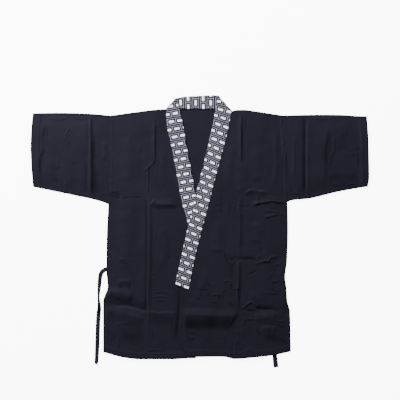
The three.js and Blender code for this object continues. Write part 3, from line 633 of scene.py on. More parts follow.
# Creases of the back's inner face, seen in the neck opening, and of the sleeves
BACK_CREASES = crease_table(
    (0.35, 8, 5, 0.5, 0.0, (-34, 300), (-33, 330), (-32, 360)),
    (-0.3, 4, 4, 0.5, 0.3, (-28, 306), (-28, 352)),
    (0.3, 8, 8, 0.4, 0.1, (-44, 348), (-40, 330), (-36, 300)),
    (-0.3, 9, 8, 0.4, 0.1, (14, 270), (20, 320), (26, 374)),
    (0.3, 5, 9, 0.5, 0.1, (-30, 226), (0, 222), (20, 228)),
)
RIGHT_SLEEVE_CREASES = crease_table(
    (2.6, 3.5, 15, 0.8, 0.0, (-341, 98), (-341, 200), (-341, 300), (-341, 368)),
    (0.0, 3, 10, 0.3, 0.42, (-336, 100), (-336, 200), (-336, 300), (-337, 362)),
    (0.0, 5, 15, 0.2, 0.42, (-334, 104), (-334, 160), (-333, 220), (-333, 318)),
    (0.0, 12, 18, 0.1, 0.32, (-324, 118), (-325, 150), (-324, 200)),
    (0.0, 10, 14, 0.1, 0.22, (-328, 220), (-327, 250), (-329, 284)),
    (-0.7, 10, 5, 0.2, 0.25, (-350, 112), (-351, 160), (-351, 216)),
    (1.6, 26, 8, 0.3, 0.0, (-500, 156), (-498, 190), (-498, 214), (-494, 237), (-489, 248), (-489, 272),
     (-487, 310), (-481, 342)),
    (0.0, 4, 14, 0.2, 0.15, (-499, 156), (-496, 190), (-496, 214), (-491, 237), (-486, 248), (-486, 272),
     (-484, 310), (-479, 342)),
    (0.9, 4, 4, 0.5, 0.2, (-475, 272), (-475, 310), (-480, 342)),
    (1.2, 4, 4, 0.6, 0.0, (-440, 194), (-440, 222)),
    (0.0, 3, 3, 0.4, 0.35, (-432, 206), (-430, 238)),
    (-0.8, 4, 4, 0.5, 0.35, (-441, 144), (-439, 164)),
    (-0.8, 16, 14, 0.0, 0.12, (-446, 144), (-446, 170), (-446, 198)),
    (1.2, 4, 4, 0.6, 0.15, (-420, 298), (-410, 308), (-402, 324)),
    (1.0, 4, 4, 0.6, 0.15, (-410, 296), (-402, 304), (-396, 314)),
    (1.0, 4, 4, 0.5, 0.0, (-416, 282), (-416, 302)),
    (-0.7, 6, 6, 0.2, 0.12, (-404, 240), (-404, 280)),
    (0.0, 3, 3, 0.4, 0.2, (-403, 214), (-403, 244)),
    (1.1, 4, 4, 0.5, 0.0, (-416, 122), (-416, 162)),
    (1.3, 44, 14, 0.1, 0.0, (-356, 232), (-354, 290), (-352, 350)),
    (1.1, 10, 10, 0.2, 0.0, (-295, 220), (-295, 250), (-295, 282)),
    (0.7, 3.5, 3.5, 0.5, 0.1, (-303, 142), (-303, 200)),
    (0.7, 3.5, 3.5, 0.5, 0.15, (-291, 142), (-292, 200)),
    (0.9, 24, 20, 0.0, 0.0, (-470, 170), (-462, 230), (-468, 300)),
    (-0.8, 20, 20, 0.0, 0.05, (-388, 130), (-384, 170), (-390, 220)),
    (0.9, 5, 7, 0.4, 0.1, (-470, 350), (-440, 348), (-410, 351)),
    (0.7, 5, 7, 0.4, 0.1, (-390, 352), (-366, 349), (-346, 352)),
)
LEFT_SLEEVE_CREASES = crease_table(
    # beside the armhole seam
    (0.9, 3, 4, 0.5, 0.2, (266, 168), (265, 210), (265, 250)),
    (0.0, 2, 3, 0.4, 0.4, (269.5, 170), (269, 210), (268.5, 250)),
    (0.8, 3, 3, 0.5, 0.3, (279, 112), (279, 130), (279, 148)),
    (0.0, 3, 3, 0.4, 0.35, (283, 112), (283, 130), (283, 148)),
    (0.8, 3, 3, 0.5, 0.2, (266, 300), (265, 318), (266, 334)),
    (-2.8, 15, 5, 0.4, 0.0, (328, 98), (328, 200), (328, 300), (328, 366)),
    (0.0, 13, 2.5, 0.2, 0.42, (327, 100), (327, 200), (327, 300), (327, 366)),
    (1.0, 3.5, 5, 0.6, 0.0, (332, 104), (332, 200), (332, 350)),
    (0.0, 3, 4, 0.3, 0.35, (337, 152), (337, 200), (337, 246)),
    (0.6, 3, 3, 0.5, 0.15, (341, 244), (341, 300), (340, 350)),
    (1.5, 42, 12, 0.1, 0.0, (385, 140), (384, 205), (384, 255), (390, 282), (394, 318)),
    (0.0, 6, 30, 0.1, 0.22, (389, 196), (388, 250), (393, 282), (397, 316)),
    (1.3, 4, 4, 0.6, 0.0, (415, 244), (415, 270), (415, 300)),
    (1.0, 5, 6, 0.5, 0.0, (400, 204), (406, 236), (415, 248)),
    (-0.8, 26, 28, 0.0, 0.12, (446, 240), (446, 270), (446, 304)),
    (0.9, 4, 4, 0.5, 0.0, (438, 292), (438, 312)),
    (-0.7, 4, 4, 0.5, 0.25, (459, 290), (459, 314)),
    (-0.8, 4, 4, 0.5, 0.45, (485, 253), (490, 253), (496, 253)),
    (1.0, 4, 4, 0.5, 0.25, (466, 240), (476, 241), (486, 239)),
    (0.0, 3, 3, 0.4, 0.25, (492, 206), (492, 254)),
    (0.0, 2.5, 2.5, 0.4, 0.35, (500, 196), (500.5, 244)),
    (0.0, 2.5, 2.5, 0.4, 0.3, (510, 144), (510, 194)),
    (0.9, 4, 4, 0.5, 0.0, (486, 206), (486, 244)),
    (-0.9, 20, 18, 0.0, 0.22, (402, 166), (440, 166), (492, 164)),
    (-0.7, 4, 4, 0.5, 0.3, (406, 128), (406, 180)),
    (0.0, 3, 3, 0.4, 0.3, (432, 144), (432, 162)),
    (0.0, 16, 16, 0.0, 0.12, (468, 306), (468, 352)),
    (1.1, 10, 10, 0.2, 0.0, (292, 160), (290, 220), (293, 300)),
    (0.9, 5, 6, 0.4, 0.2, (284, 116), (298, 120), (312, 114)),
    (0.9, 4, 5, 0.5, 0.2, (400, 142), (424, 146), (450, 141)),
    (0.8, 4, 5, 0.5, 0.2, (450, 144), (470, 148), (492, 144)),
    (0.8, 5, 7, 0.4, 0.1, (350, 352), (380, 349), (410, 352)),
)


class Wrap(Enum):
    """How the sections of a wall end."""

    SHEET = "sheet"
    RING = "ring"


@dataclass
class Wall:
    """A closed wall of cloth between two faces, given as grids of points."""

    face: Array
    back: Array
    uv: Array
    wrap: Wrap = Wrap.SHEET
    # share of the colour left by painted shade at each point, kept as the tone attribute
    tone: Array | None = None

    def quads(self) -> Array:
        """The wall's faces as rows of four point numbers.

        Returns:
            A row for each face.
        """
        rows, across = self.face.shape[:2]
        total = rows * across
        columns = np.arange(across if self.wrap is Wrap.RING else across - 1)
        i, j = (part.ravel() for part in np.meshgrid(np.arange(rows - 1), columns, indexing="ij"))

        def at(row: int | Array, column: int | Array) -> Array:
            """Number of a point of the face; after the last column comes the first one."""
            return row * across + column % across

        def edge(first: Array, second: Array) -> Array:
            """Faces that close the wall between pairs of points of one edge."""
            return np.column_stack([first, second, second + total, first + total])

        corners = [at(i, j), at(i + 1, j), at(i + 1, j + 1), at(i, j + 1)]
        parts = [np.column_stack(corners), np.column_stack([corners[0], *corners[:0:-1]]) + total]
        parts.append(edge(at(0, columns), at(0, columns + 1)))
        parts.append(edge(at(rows - 1, columns + 1), at(rows - 1, columns)))
        if self.wrap is Wrap.SHEET:
            i = np.arange(rows - 1)
            parts.append(edge(at(i + 1, 0), at(i, 0)))
            parts.append(edge(at(i, across - 1), at(i + 1, across - 1)))
        return np.vstack(parts)

    def build(self, name: str) -> bpy.types.Object:
        """Makes the mesh, with its outer faces turned out and a UV map in metres.

        Args:
            name: Name of the piece.

        Returns:
            The new object.
        """
        points = np.vstack([self.face.reshape(-1, 3), self.back.reshape(-1, 3)])
        quads = self.quads()
        a, b, c, d = (points[quads[:, k]] for k in range(4))
        volume = np.einsum("ij,ij->", np.cross(b, c), a) + np.einsum("ij,ij->", np.cross(c, d), a)
        if volume < 0:
            quads = quads[:, ::-1]
        mesh = smooth_mesh(name, points, quads.tolist())
        uv = np.vstack([self.uv.reshape(-1, 2)] * 2) * MM
        corners = np.zeros(len(mesh.loops), dtype=np.int32)
        mesh.loops.foreach_get("vertex_index", corners)
        mesh.uv_layers.new(name="cut").data.foreach_set("uv", uv[corners].ravel())
        # the painted shade goes to the mesh as its tone attribute
        if self.tone is not None:
            tones = np.concatenate([self.tone.ravel()] * 2)
            mesh.attributes.new("tone", "FLOAT", "POINT").data.foreach_set("value", tones)
        mesh.validate()
        mesh.update()
        return in_scene(name, mesh)


def rounded_steps(length: float, pitch: float) -> Array:
    """Shares of a length, with a few more close to each end for a rounded edge.

    Args:
        length: The length in millimetres.
        pitch: The usual step.

    Returns:
        Shares from 0 to 1.
    """
    close = np.array(RIM_STEPS) / length
    inner = INNER_STEP / length
    middle = np.linspace(inner, 1.0 - inner, int(length / pitch))
    return np.concatenate([close, middle, 1.0 - close[::-1]])


def edge_round(away: Array) -> Array:
    """Share of the wall that is left near a rounded edge, by the distance from it."""
    return RIM_SHARE + (1.0 - RIM_SHARE) * rounding(away, RIM_RADIUS)


def turned_in(inside: Array, turn: float) -> Array:
    """1 where the cloth is turned in along an edge and 0 farther inside."""
    return fade(inside, turn - 1.6, turn + 0.6)


def hemmed(inside: Array, turn: float) -> Array:
    """The wall by the distance from an edge: thicker in the turn, drawn in at the stitches."""
    groove = STITCH_DIP * bell(inside - turn + STITCH_INSET, 1.1)
    return lerp(CLOTH, HEM_WALL, turned_in(inside, turn)) - groove


def edge_shade(away: Array) -> Array:
    """Share of the colour left by painted shade where the cloth turns down, by the distance from its
    outline.
    """
    return 1.0 - EDGE_SHADE_DEPTH * fade(away, 0.3 * EDGE_REACH, EDGE_REACH)


@dataclass
class Panel:
    """A flat-laid panel of cloth: its outline, its form and its cut."""

    name: str
    node: str
    hem: Table
    creases: tuple[Crease, ...]
    cut: tuple[float, float]
    cut_area: float
    rests_on: tuple[str, ...]
    pitch: float = 2.4
    seed: float = 0.0
    settling: int = 7  # passes that bring the rows and columns of points together
    broad: float = 300.0
    tall: float = 770.0

    def top_line(self, x: Array) -> Array:
        """The upper outline."""
        return SHOULDER.read("x", "y", x)

    def hem_line(self, x: Array) -> Array:
        """The lower outline."""
        return self.hem.read("x", "y", x)

    def first_side(self, y: Array) -> Array:
        """The outline on the image's left: the right side seam and armhole."""
        return RIGHT_SIDE.read("y", "x", y)

    def last_side(self, y: Array) -> Array:
        """The outline on the image's right: the left side seam and armhole."""
        return LEFT_SIDE.read("y", "x", y)

    def low(self, x: Array, y: Array) -> Array:
        """Height of the underside."""
        raise NotImplementedError

    def thickness(self, x: Array, y: Array) -> Array:
        """The cloth with its turned hem."""
        return hemmed(y - self.hem_line(x), HEM_TURN)

    def top(self, x: Array, y: Array) -> Array:
        """Height of the upper face."""
        return self.low(x, y) + self.thickness(x, y)

    def block(
        self, first: Curve, last: Curve, upper: Curve, lower: Curve, down: Array
    ) -> tuple[Array, Array]:
        """Places of one block of rows.

        Args:
            first: Outline on the left, x by y.
            last: Outline on the right, x by y.
            upper: Curve of the first row, y by x.
            lower: Curve of the last row, y by x.
            down: Shares between those two curves.

        Returns:
            The x and y of each point.
        """
        across = rounded_steps(self.broad, self.pitch)
        share, way = np.meshgrid(across, down)
        x = np.zeros_like(share)
        y = np.zeros_like(share)
        for _ in range(self.settling):
            y = lerp(upper(x), lower(x), way)
            x = lerp(first(y), last(y), share)
        return x, y

    def blocks(self) -> list[tuple[Array, Array]]:
        """The blocks of rows from the shoulder to the hem."""
        down = rounded_steps(self.tall, self.pitch)
        return [self.block(self.first_side, self.last_side, self.top_line, self.hem_line, down)]

    def from_ends(self, x: Array, y: Array) -> Array:
        """Distance from the upper or the lower outline."""
        return np.minimum(self.top_line(x) - y, y - self.hem_line(x))

    def rim(self, x: Array, y: Array) -> Array:
        """Distance from the nearest edge, near enough for the rounding."""
        sides = np.minimum(x - self.first_side(y), self.last_side(y) - x)
        return np.clip(np.minimum(sides, self.from_ends(x, y)), 0.0, None)

    def outline_away(self, x: Array, y: Array) -> Array:
        """Distance from the jacket's outline, which leaves the fronts at the armholes."""
        sides = np.minimum(x - Panel.first_side(self, y), Panel.last_side(self, y) - x)
        return np.minimum(np.where(y > UNDERARM, EDGE_REACH, sides), self.from_ends(x, y))

    def build(self, material: bpy.types.Material) -> bpy.types.Object:
        """Args:
            material: The cloth.

        Returns:
            The piece.
        """
        x, y = (np.vstack(parts) for parts in zip(*self.blocks()))
        wall = self.thickness(x, y)
        under = self.low(x, y)
        half = 0.5 * wall * edge_round(self.rim(x, y))
        middle = under + 0.5 * wall
        face = np.stack([x, y, middle + half], axis=-1)
        back = np.stack([x, y, middle - half], axis=-1)
        # painted shade: the creases' shade and a darker rim along the jacket's outline
        tone = painted_crease_shade(self.creases, x, y) * edge_shade(self.outline_away(x, y))
        piece = Wall(face, back, np.stack([x, y], axis=-1), tone=tone).build(self.name)
        dress(piece, self.node, material)
        list(self.rests_on)
        return piece


def dress(piece: bpy.types.Object, node: str | None, material: bpy.types.Material) -> None:
    """Gives a piece its material, its body and the node that it stands for.

    Args:
        piece: The new object.
        node: The node it replaces, or None.
        material: Its material.
    """
    piece.data.materials.clear()
    piece.data.materials.append(material)
    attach(piece, BODY)
    if node:
        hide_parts(node)


def chest_and_seams(x: Array, y: Array, side: Array, seed: float) -> Array:
    """Ripples by a side seam and the raised seam allowance of the armhole.

    Args:
        x: Places of the points; not used.
        y: Places of the points.
        side: Distance from the side seam or armhole.
        seed: Shifts the ripples.

    Returns:
        A height in millimetres.
    """
    armhole = smooth(y, UNDERARM - 8.0, UNDERARM + 6.0)
    allowance = ALLOWANCE_RISE * fade(side, ALLOWANCE - 2.0, ALLOWANCE) * armhole
    return allowance + pucker(y, side, 0.4 + 0.7 * bell(y - WAIST, 36.0), seed)


@dataclass
class Back(Panel):
    """The one-piece back, which lies on the floor."""

    def top_line(self, x: Array) -> Array:
        """The shoulders and, between them, the neckline at the band.

        Args:
            x: Places along it.

        Returns:
            The y there.
        """
        ends = NECK_BAND.column("seam_x")
        in_neck = (x >= ends[0]) & (x <= ends[-1])
        return np.where(in_neck, NECK_SEWN(x) + BAND_TUCK, SHOULDER.read("x", "y", x))

    def low(self, x: Array, y: Array) -> Array:
        """Flat on the floor."""
        return np.zeros_like(x)

    def thickness(self, x: Array, y: Array) -> Array:
        """The cloth with its few soft creases, and a thicker hem.

        Args:
            x: Places of the points.
            y: Places of the points.

        Returns:
            The wall at each point.
        """
        hem = 0.25 * turned_in(y - self.hem_line(x), HEM_TURN)
        soft = relief(self.creases, x, y) + 0.12 * billow(x, y, self.seed)
        return CLOTH - 0.1 + hem + np.clip(soft, -0.3, 0.4)


@dataclass
class RightFront(Panel):
    """The front that lies under, from the right side seam to the neckband."""

    lap_side: tuple[float, float] = (-22.0, -2.0)  # the way down under the left front's edge
    lowest: float = SEAT - 0.25

    def last_side(self, y: Array) -> Array:
        """The band's sewn edge, then the hidden front edge."""
        end = RIGHT_BAND.column("seam_y")[0]
        return np.where(y > end, RIGHT_SEWN(y) + BAND_TUCK, RIGHT_FRONT_EDGE.read("y", "x", y))

    def low(self, x: Array, y: Array) -> Array:
        """Loose over the back, and level with the band along it.

        Args:
            x: Places of the points.
            y: Places of the points.

        Returns:
            Height of the underside.
        """
        side = x - self.first_side(y)
        from_lap = x - LEFT_FRONT_EDGE.read("y", "x", y)
        covered = smooth(from_lap, *self.lap_side) * fade(y, *BAND_FOOT)
        loose = relief(self.creases, x, y) + 0.5 * billow(x, y, self.seed)
        loose = loose * smooth(side, 0.0, LOOSE_FROM) * (1.0 - covered)
        air = lerp(BODY_AIR, COVERED_AIR, covered) * smooth(side, 0.0, BODY_AIR_REACH)
        lying = SEAT + np.maximum(0.0, air + loose) + chest_and_seams(x, y, side, self.seed)
        away = self.last_side(y) - x
        lift = RIGHT_BAND.read("seam_y", "lift", y) + BAND_SEAT
        beside_band = lift + pucker(y, away, 0.25, 2.0)
        return np.maximum(lerp(beside_band, lying, smooth(away, 2.0, BAND_REACH)), self.lowest)


@dataclass
class LeftFront(Panel):
    """The front that lies over, from the neckband to the left side seam."""

    above_end_tall: float = 550.0
    below_end_tall: float = 215.0
    edge_hem_levels: tuple[float, float] = (-196.0, -186.0)
    band_end_levels: tuple[float, float] = (-200.0, -180.0)
    tape_side: tuple[float, float] = (8.0, 30.0)  # the way down beside the hidden tie
    tape_down: tuple[float, float] = (75.0, 105.0)  # the way up onto it, from above
    lap_side: tuple[float, float] = (6.0, 56.0)  # the way down off the right front
    sag: float = 0.75  # of the front edge below the band
    sag_side: tuple[float, float] = (0.0, 26.0)
    sag_down: tuple[float, float] = (200.0, 240.0)

    def band_end(self, x: Array) -> Array:
        """The line of the neckband's lower end.

        Args:
            x: Places along it.

        Returns:
            The y there.
        """
        seam_x, seam_y, free_x, free_y = LEFT_BAND.rows[-1][:4]
        slant = (free_y - seam_y) / (seam_x - free_x)
        return seam_y + TUCK + slant * np.maximum(0.0, seam_x - x)

    def first_side(self, y: Array) -> Array:
        """The band's sewn edge, then the front edge below the band."""
        end = LEFT_BAND.column("seam_y")[-1]
        return np.where(y > end, self.band_seam(y), self.front_edge(y))

    def front_edge(self, y: Array) -> Array:
        """The hemmed front edge below the band."""
        return LEFT_FRONT_EDGE.read("y", "x", y)

    def band_seam(self, y: Array) -> Array:
        """The line along the band's sewn edge."""
        return LEFT_SEWN(y) - BAND_TUCK

    def blocks(self) -> list[tuple[Array, Array]]:
        """Rows down to the band's end, then rows down to the hem.

        Returns:
            The x and y of each block.
        """
        upper = rounded_steps(self.above_end_tall, self.pitch)
        lower = rounded_steps(self.below_end_tall, self.pitch)
        return [
            self.block(self.band_seam, self.last_side, self.top_line, self.above_end, upper[:-3]),
            self.block(self.front_edge, self.last_side, self.band_end, self.hem_line, lower),
        ]

    def above_end(self, x: Array) -> Array:
        """The last row beside the band, just above its end."""
        return self.band_end(x) + SHORT_STEP

    def rim(self, x: Array, y: Array) -> Array:
        """Distance from the nearest edge; the rows at the band's end aren't one.

        Args:
            x: Places of the points.
            y: Places of the points.

        Returns:
            The distance at each point.
        """
        end = LEFT_BAND.column("seam_y")[-1]
        below = y < self.band_end(x) + 0.5 * SHORT_STEP
        first = np.where(below, self.front_edge(y), self.band_seam(np.maximum(y, end)))
        sides = np.minimum(x - first, self.last_side(y) - x)
        return np.clip(np.minimum(sides, self.from_ends(x, y)), 0.0, None)

    def thickness(self, x: Array, y: Array) -> Array:
        """The cloth with its hem and the narrow hem of the front edge.

        Args:
            x: Places of the points.
            y: Places of the points.

        Returns:
            The wall at each point.
        """
        below = fade(y, *self.edge_hem_levels)
        in_from_edge = x - self.front_edge(y)
        turn = fade(in_from_edge, EDGE_HEM - 1.5, EDGE_HEM) * below
        groove = 0.25 * bell(in_from_edge - EDGE_STITCH, 0.9) * below
        return np.maximum(super().thickness(x, y), lerp(CLOTH, HEM_WALL, turn) - groove)

    def low(self, x: Array, y: Array) -> Array:
        """Loose over the back at the side, up over the right front at the edge.

        Args:
            x: Places of the points.
            y: Places of the points.

        Returns:
            Height of the underside.
        """
        side = self.last_side(y) - x
        folds = relief(self.creases, x, y) + 0.5 * billow(x, y, self.seed)
        loose = folds * smooth(side, 0.0, LOOSE_FROM)
        over_tape = fade(np.abs(x - LEFT_TIE_LINE(y)), *self.tape_side)
        tape = TAPE_AIR * over_tape * smooth(-y, *self.tape_down)
        air = BODY_AIR * smooth(side, 0.0, BODY_AIR_REACH)
        lying = SEAT + np.maximum(tape, air + loose) + chest_and_seams(x, y, side, self.seed)
        reach = UNDER_REACH.read("y", "x", y)
        over = fade(x - reach, *self.lap_side)
        from_band = x - self.band_seam(y)
        near_band = fade(from_band, 2.0, BAND_REACH) * smooth(y, *self.band_end_levels)
        lift = LEFT_BAND.read("seam_y", "lift", y) + BAND_SEAT
        raised = lift + np.maximum(-0.35, folds) + pucker(y, from_band, 0.25, 4.0)
        at_edge = fade(x - self.front_edge(y), *self.sag_side)
        sag = self.sag * at_edge * smooth(-y, *self.sag_down)
        return lerp(lying, raised - sag, np.maximum(over, near_band))


@dataclass
class Sleeve:
    """A straight sleeve: a flattened tube, open at the armhole and the cuff."""

    name: str
    node: str
    outline: Table
    armhole: Table
    cuff: Table
    creases: tuple[Crease, ...]
    way: int
    seed: float
    cut: tuple[float, float] = (0.565, 0.285)
    cut_area: float = 0.147
    pitch: float = 2.5
    hollow: float = 0.45
    air: float = 2.6
    edge_radius: float = 1.5
    round_half: float = 268.0  # from one folded edge to the other
    run: float = 240.0  # from the armhole to the cuff
    middle: float = 240.0  # level at which the sections' width is read
    fold_share: float = 0.22  # share of the width over which the air rises from a folded edge
    loose_share: float = 0.04
    armhole_reach: float = 45.0

    def cuff_line(self, y: Array) -> Array:
        """Where the cuff ends."""
        return self.cuff.read("y", "x", y)

    def stations(self, along: Array, y: Array) -> Array:
        """The x of the tube's sections, by the share from the armhole to the cuff and by y."""
        start = self.armhole.read("y", "x", y) - self.way * TUCK
        return lerp(start, self.cuff_line(y), along)

    def wall(self, x: Array, y: Array) -> Array:
        """The cloth with its turned cuff."""
        return hemmed(self.way * (self.cuff_line(y) - x), CUFF_TURN)

    def top(self, x: Array, y: Array) -> Array:
        """Height of the upper face away from the folded edges.

        Args:
            x: Places of the points.
            y: Places of the points.

        Returns:
            The height at each point.
        """
        top = self.outline.read("x", "top", x)
        under = self.outline.read("x", "under", x)
        share = np.clip((y - under) / (top - under), 0.0, 1.0)
        middle = smooth(share, 0.0, self.fold_share) * fade(share, 1.0 - self.fold_share, 1.0)
        edges = smooth(share, 0.0, self.loose_share) * fade(share, 1.0 - self.loose_share, 1.0)
        armhole = self.way * (x - self.armhole.read("y", "x", y))
        loose = relief(self.creases, x, y) + 0.45 * billow(x, y, self.seed)
        air = self.air * lerp(0.2, 1.0, smooth(armhole, 0.0, self.armhole_reach))
        swell = middle * air + loose * edges
        ripples = pucker(y, armhole, 0.3, self.seed) + pucker(x, y - under, 0.35, self.seed)
        return 2.0 * self.wall(x, y) + self.hollow + np.maximum(-0.3, swell) + ripples

    def loop(self, inset: float, along: Array) -> Array:
        """One face of the tube as a grid of points.

        Args:
            inset: How far in from the outer face.
            along: Shares from the armhole to the cuff.

        Returns:
            Points, a row for each section, going round under, top and back.
        """
        across = rounded_steps(self.round_half, self.pitch)
        share, way = np.meshgrid(across, along)
        guess = self.stations(along, np.full_like(along, self.middle))
        top = self.outline.read("x", "top", guess)[:, None] - inset
        under = self.outline.read("x", "under", guess)[:, None] + inset
        y = lerp(under, top, share)
        x = self.stations(way, y)
        wall = self.wall(x, y)
        height = self.top(x, y)
        fullness = rounding(np.minimum(y - under, top - y), self.edge_radius - 0.6 * inset)
        inner = 0.0 if inset == 0.0 else wall
        low = inner + (0.5 * height - inner) * (1.0 - fullness)
        high = height - low
        lower = np.stack([x, y, low], axis=-1)
        upper = np.stack([x, y, high], axis=-1)
        return np.concatenate([lower, upper[:, -2:0:-1]], axis=1)

    def build(self, material: bpy.types.Material) -> bpy.types.Object:
        """Args:
            material: The cloth.

        Returns:
            The piece.
        """
        along = rounded_steps(self.run, self.pitch)
        outer, inner = self.loop(0.0, along), self.loop(CLOTH, along)
        x, y = outer[..., 0], outer[..., 1]
        top, under = (self.outline.read("x", name, x) for name in ("top", "under"))
        folds = np.minimum(top - y, y - under)
        away = np.minimum(folds, self.way * (self.cuff_line(y) - x))
        # painted shade: the creases' shade and a darker rim along the folded edges and the cuff
        tone = painted_crease_shade(self.creases, x, y) * edge_shade(away)
        piece = Wall(outer, inner, outer[:, :, :2], Wrap.RING, tone).build(self.name)
        dress(piece, self.node, material)
        return piece


@dataclass
class Neckband:
    """The long printed band: up one front, round the neck and down the other."""

    name: str = "collar_band"
    node: str = "collar"
    parts: tuple[int, int, int] = (38, 22, 32)
    turn_parts: int = 12
    width: float = 46.5
    flat: tuple[float, float] = (0.0465, 1.345)
    print_skew: float = math.tan(math.radians(9.2))
    turn_out: tuple[tuple[float, float], tuple[float, float]] = ((-0.73, 0.68), (0.76, 0.65))
    edge_radius: float = 1.5
    edge_share: float = 0.18
    stitched_at: float = 3.0
    across: tuple[float, ...] = (0.0, 0.008, 0.022, 0.045, 0.09, 0.16, 0.26, 0.38, 0.5, 0.62, 0.74,
                                 0.84, 0.91, 0.955, 0.978, 0.992, 1.0)

    def stretch(self, band: Table, parts: int, up: float) -> dict[str, Array]:
        """One flat stretch of the band.

        Args:
            band: Its table.
            parts: Steps between two rows.
            up: 1 where the outer face is up, -1 where it is down.

        Returns:
            Its two edges, its height and the way its outer face looks.
        """
        rows = band.drawn(parts)
        count = len(rows["lift"])
        middle = rows["lift"] + 0.5 * BAND_WALL
        return {
            "seam": np.column_stack([rows["seam_x"], rows["seam_y"], middle]),
            "free": np.column_stack([rows["free_x"], rows["free_y"], middle]),
            "out": np.tile([0.0, 0.0, up], (count, 1)),
        }

    def turn(
        self, row: tuple[float, ...], out: tuple[float, float], downwards: bool
    ) -> dict[str, Array]:
        """The band rolling over at a shoulder.

        Args:
            row: The row of the table at the turn.
            out: The way away from the neck, in plan.
            downwards: Whether the band goes from its upper layer to its lower one.

        Returns:
            The same as for a stretch.
        """
        parts = np.arange(1, self.turn_parts) / self.turn_parts
        angle = math.pi * (parts if downwards else 1.0 - parts)
        radius = 0.5 * FOLD_LIFT
        way = np.column_stack([out[0] * np.sin(angle), out[1] * np.sin(angle), np.cos(angle)])
        centre_height = BAND_WALL + 0.5 * (FOLD_LIFT - BAND_WALL)
        edges = {}
        for edge, place in (("seam", row[:2]), ("free", row[2:4])):
            edges[edge] = np.array([place[0], place[1], centre_height]) + radius * way
        return {**edges, "out": way}

    def sections(self) -> dict[str, Array]:
        """All sections, from the right front's end to the left front's.

        Returns:
            The same as for a stretch.
        """
        pieces = [
            self.stretch(RIGHT_BAND, self.parts[0], 1.0),
            self.turn(NECK_BAND.rows[0], self.turn_out[0], True),
            self.stretch(NECK_BAND, self.parts[1], -1.0),
            self.turn(NECK_BAND.rows[-1], self.turn_out[1], False),
            self.stretch(LEFT_BAND, self.parts[2], 1.0),
        ]
        return {name: np.vstack([piece[name] for piece in pieces]) for name in pieces[0]}

    def cloth_map(self, points: Array, seam: Array, middle: Array, out: Array) -> Array:
        """Places on the uncut strip of cloth, along it and across from its sewn edge.

        Args:
            points: Points on the band, a row for each section.
            seam: The sewn edge.
            middle: The middle line.
            out: The way the outer face looks.

        Returns:
            The two distances in millimetres for each point.
        """
        along = distances(middle)
        way = unit(np.gradient(middle, along + np.arange(len(along)) * 1e-6, axis=0))
        over = np.cross(out, way)
        across = np.abs(np.einsum("ijk,ik->ij", points - seam[:, None], over))
        offset = np.einsum("ijk,ik->ij", points - middle[:, None], way)
        first_turn = along[self.parts[0] * (len(RIGHT_BAND.rows) - 1)]
        last_turn = along[-self.parts[2] * (len(LEFT_BAND.rows) - 1)]
        skew = self.print_skew * smooth(along, last_turn - 20.0, last_turn + 60.0)
        marks = [0.0, first_turn, last_turn, along[-1]]
        place = np.interp(along, marks, [0.0, 1.0, 2.0, 3.0])[:, None]
        slip = PRINT_SLIP.read("place", "along", place)
        drift = PRINT_SLIP.read("place", "across", place)
        run = along[:, None] + offset + across * skew[:, None] + slip
        return np.stack([run, across + drift], axis=-1)

    def build(self, material: bpy.types.Material) -> bpy.types.Object:
        """Args:
            material: The printed cloth.

        Returns:
            The piece.
        """
        rows = self.sections()
        seam, free, out = rows["seam"], rows["free"], rows["out"]
        share = np.array(self.across)
        points = lerp(seam[:, None], free[:, None], share[None, :, None])
        uv = self.cloth_map(points, seam, 0.5 * (seam + free), out)
        rim = np.minimum(share, 1.0 - share) * self.width
        round_off = rounding(rim, self.edge_radius)
        groove = 0.28 * bell(share * self.width - self.stitched_at, 0.8)
        half = 0.5 * BAND_WALL * (self.edge_share + (1.0 - self.edge_share) * round_off)
        waver = 0.1 * billow(uv[..., 0] * 2.2, uv[..., 1] * 2.0, 5.0)
        height = half[None] - groove[None] + waver * round_off[None]
        face = points + out[:, None] * height[..., None]
        back = points - out[:, None] * half[None, :, None]
        floor_side = np.where(out[:, 2] < -0.99, 0.0, -np.inf)
        face[..., 2] = np.maximum(face[..., 2], floor_side[:, None])
        piece = Wall(face, back, uv).build(self.name)
        dress(piece, self.node, material)
        return piece


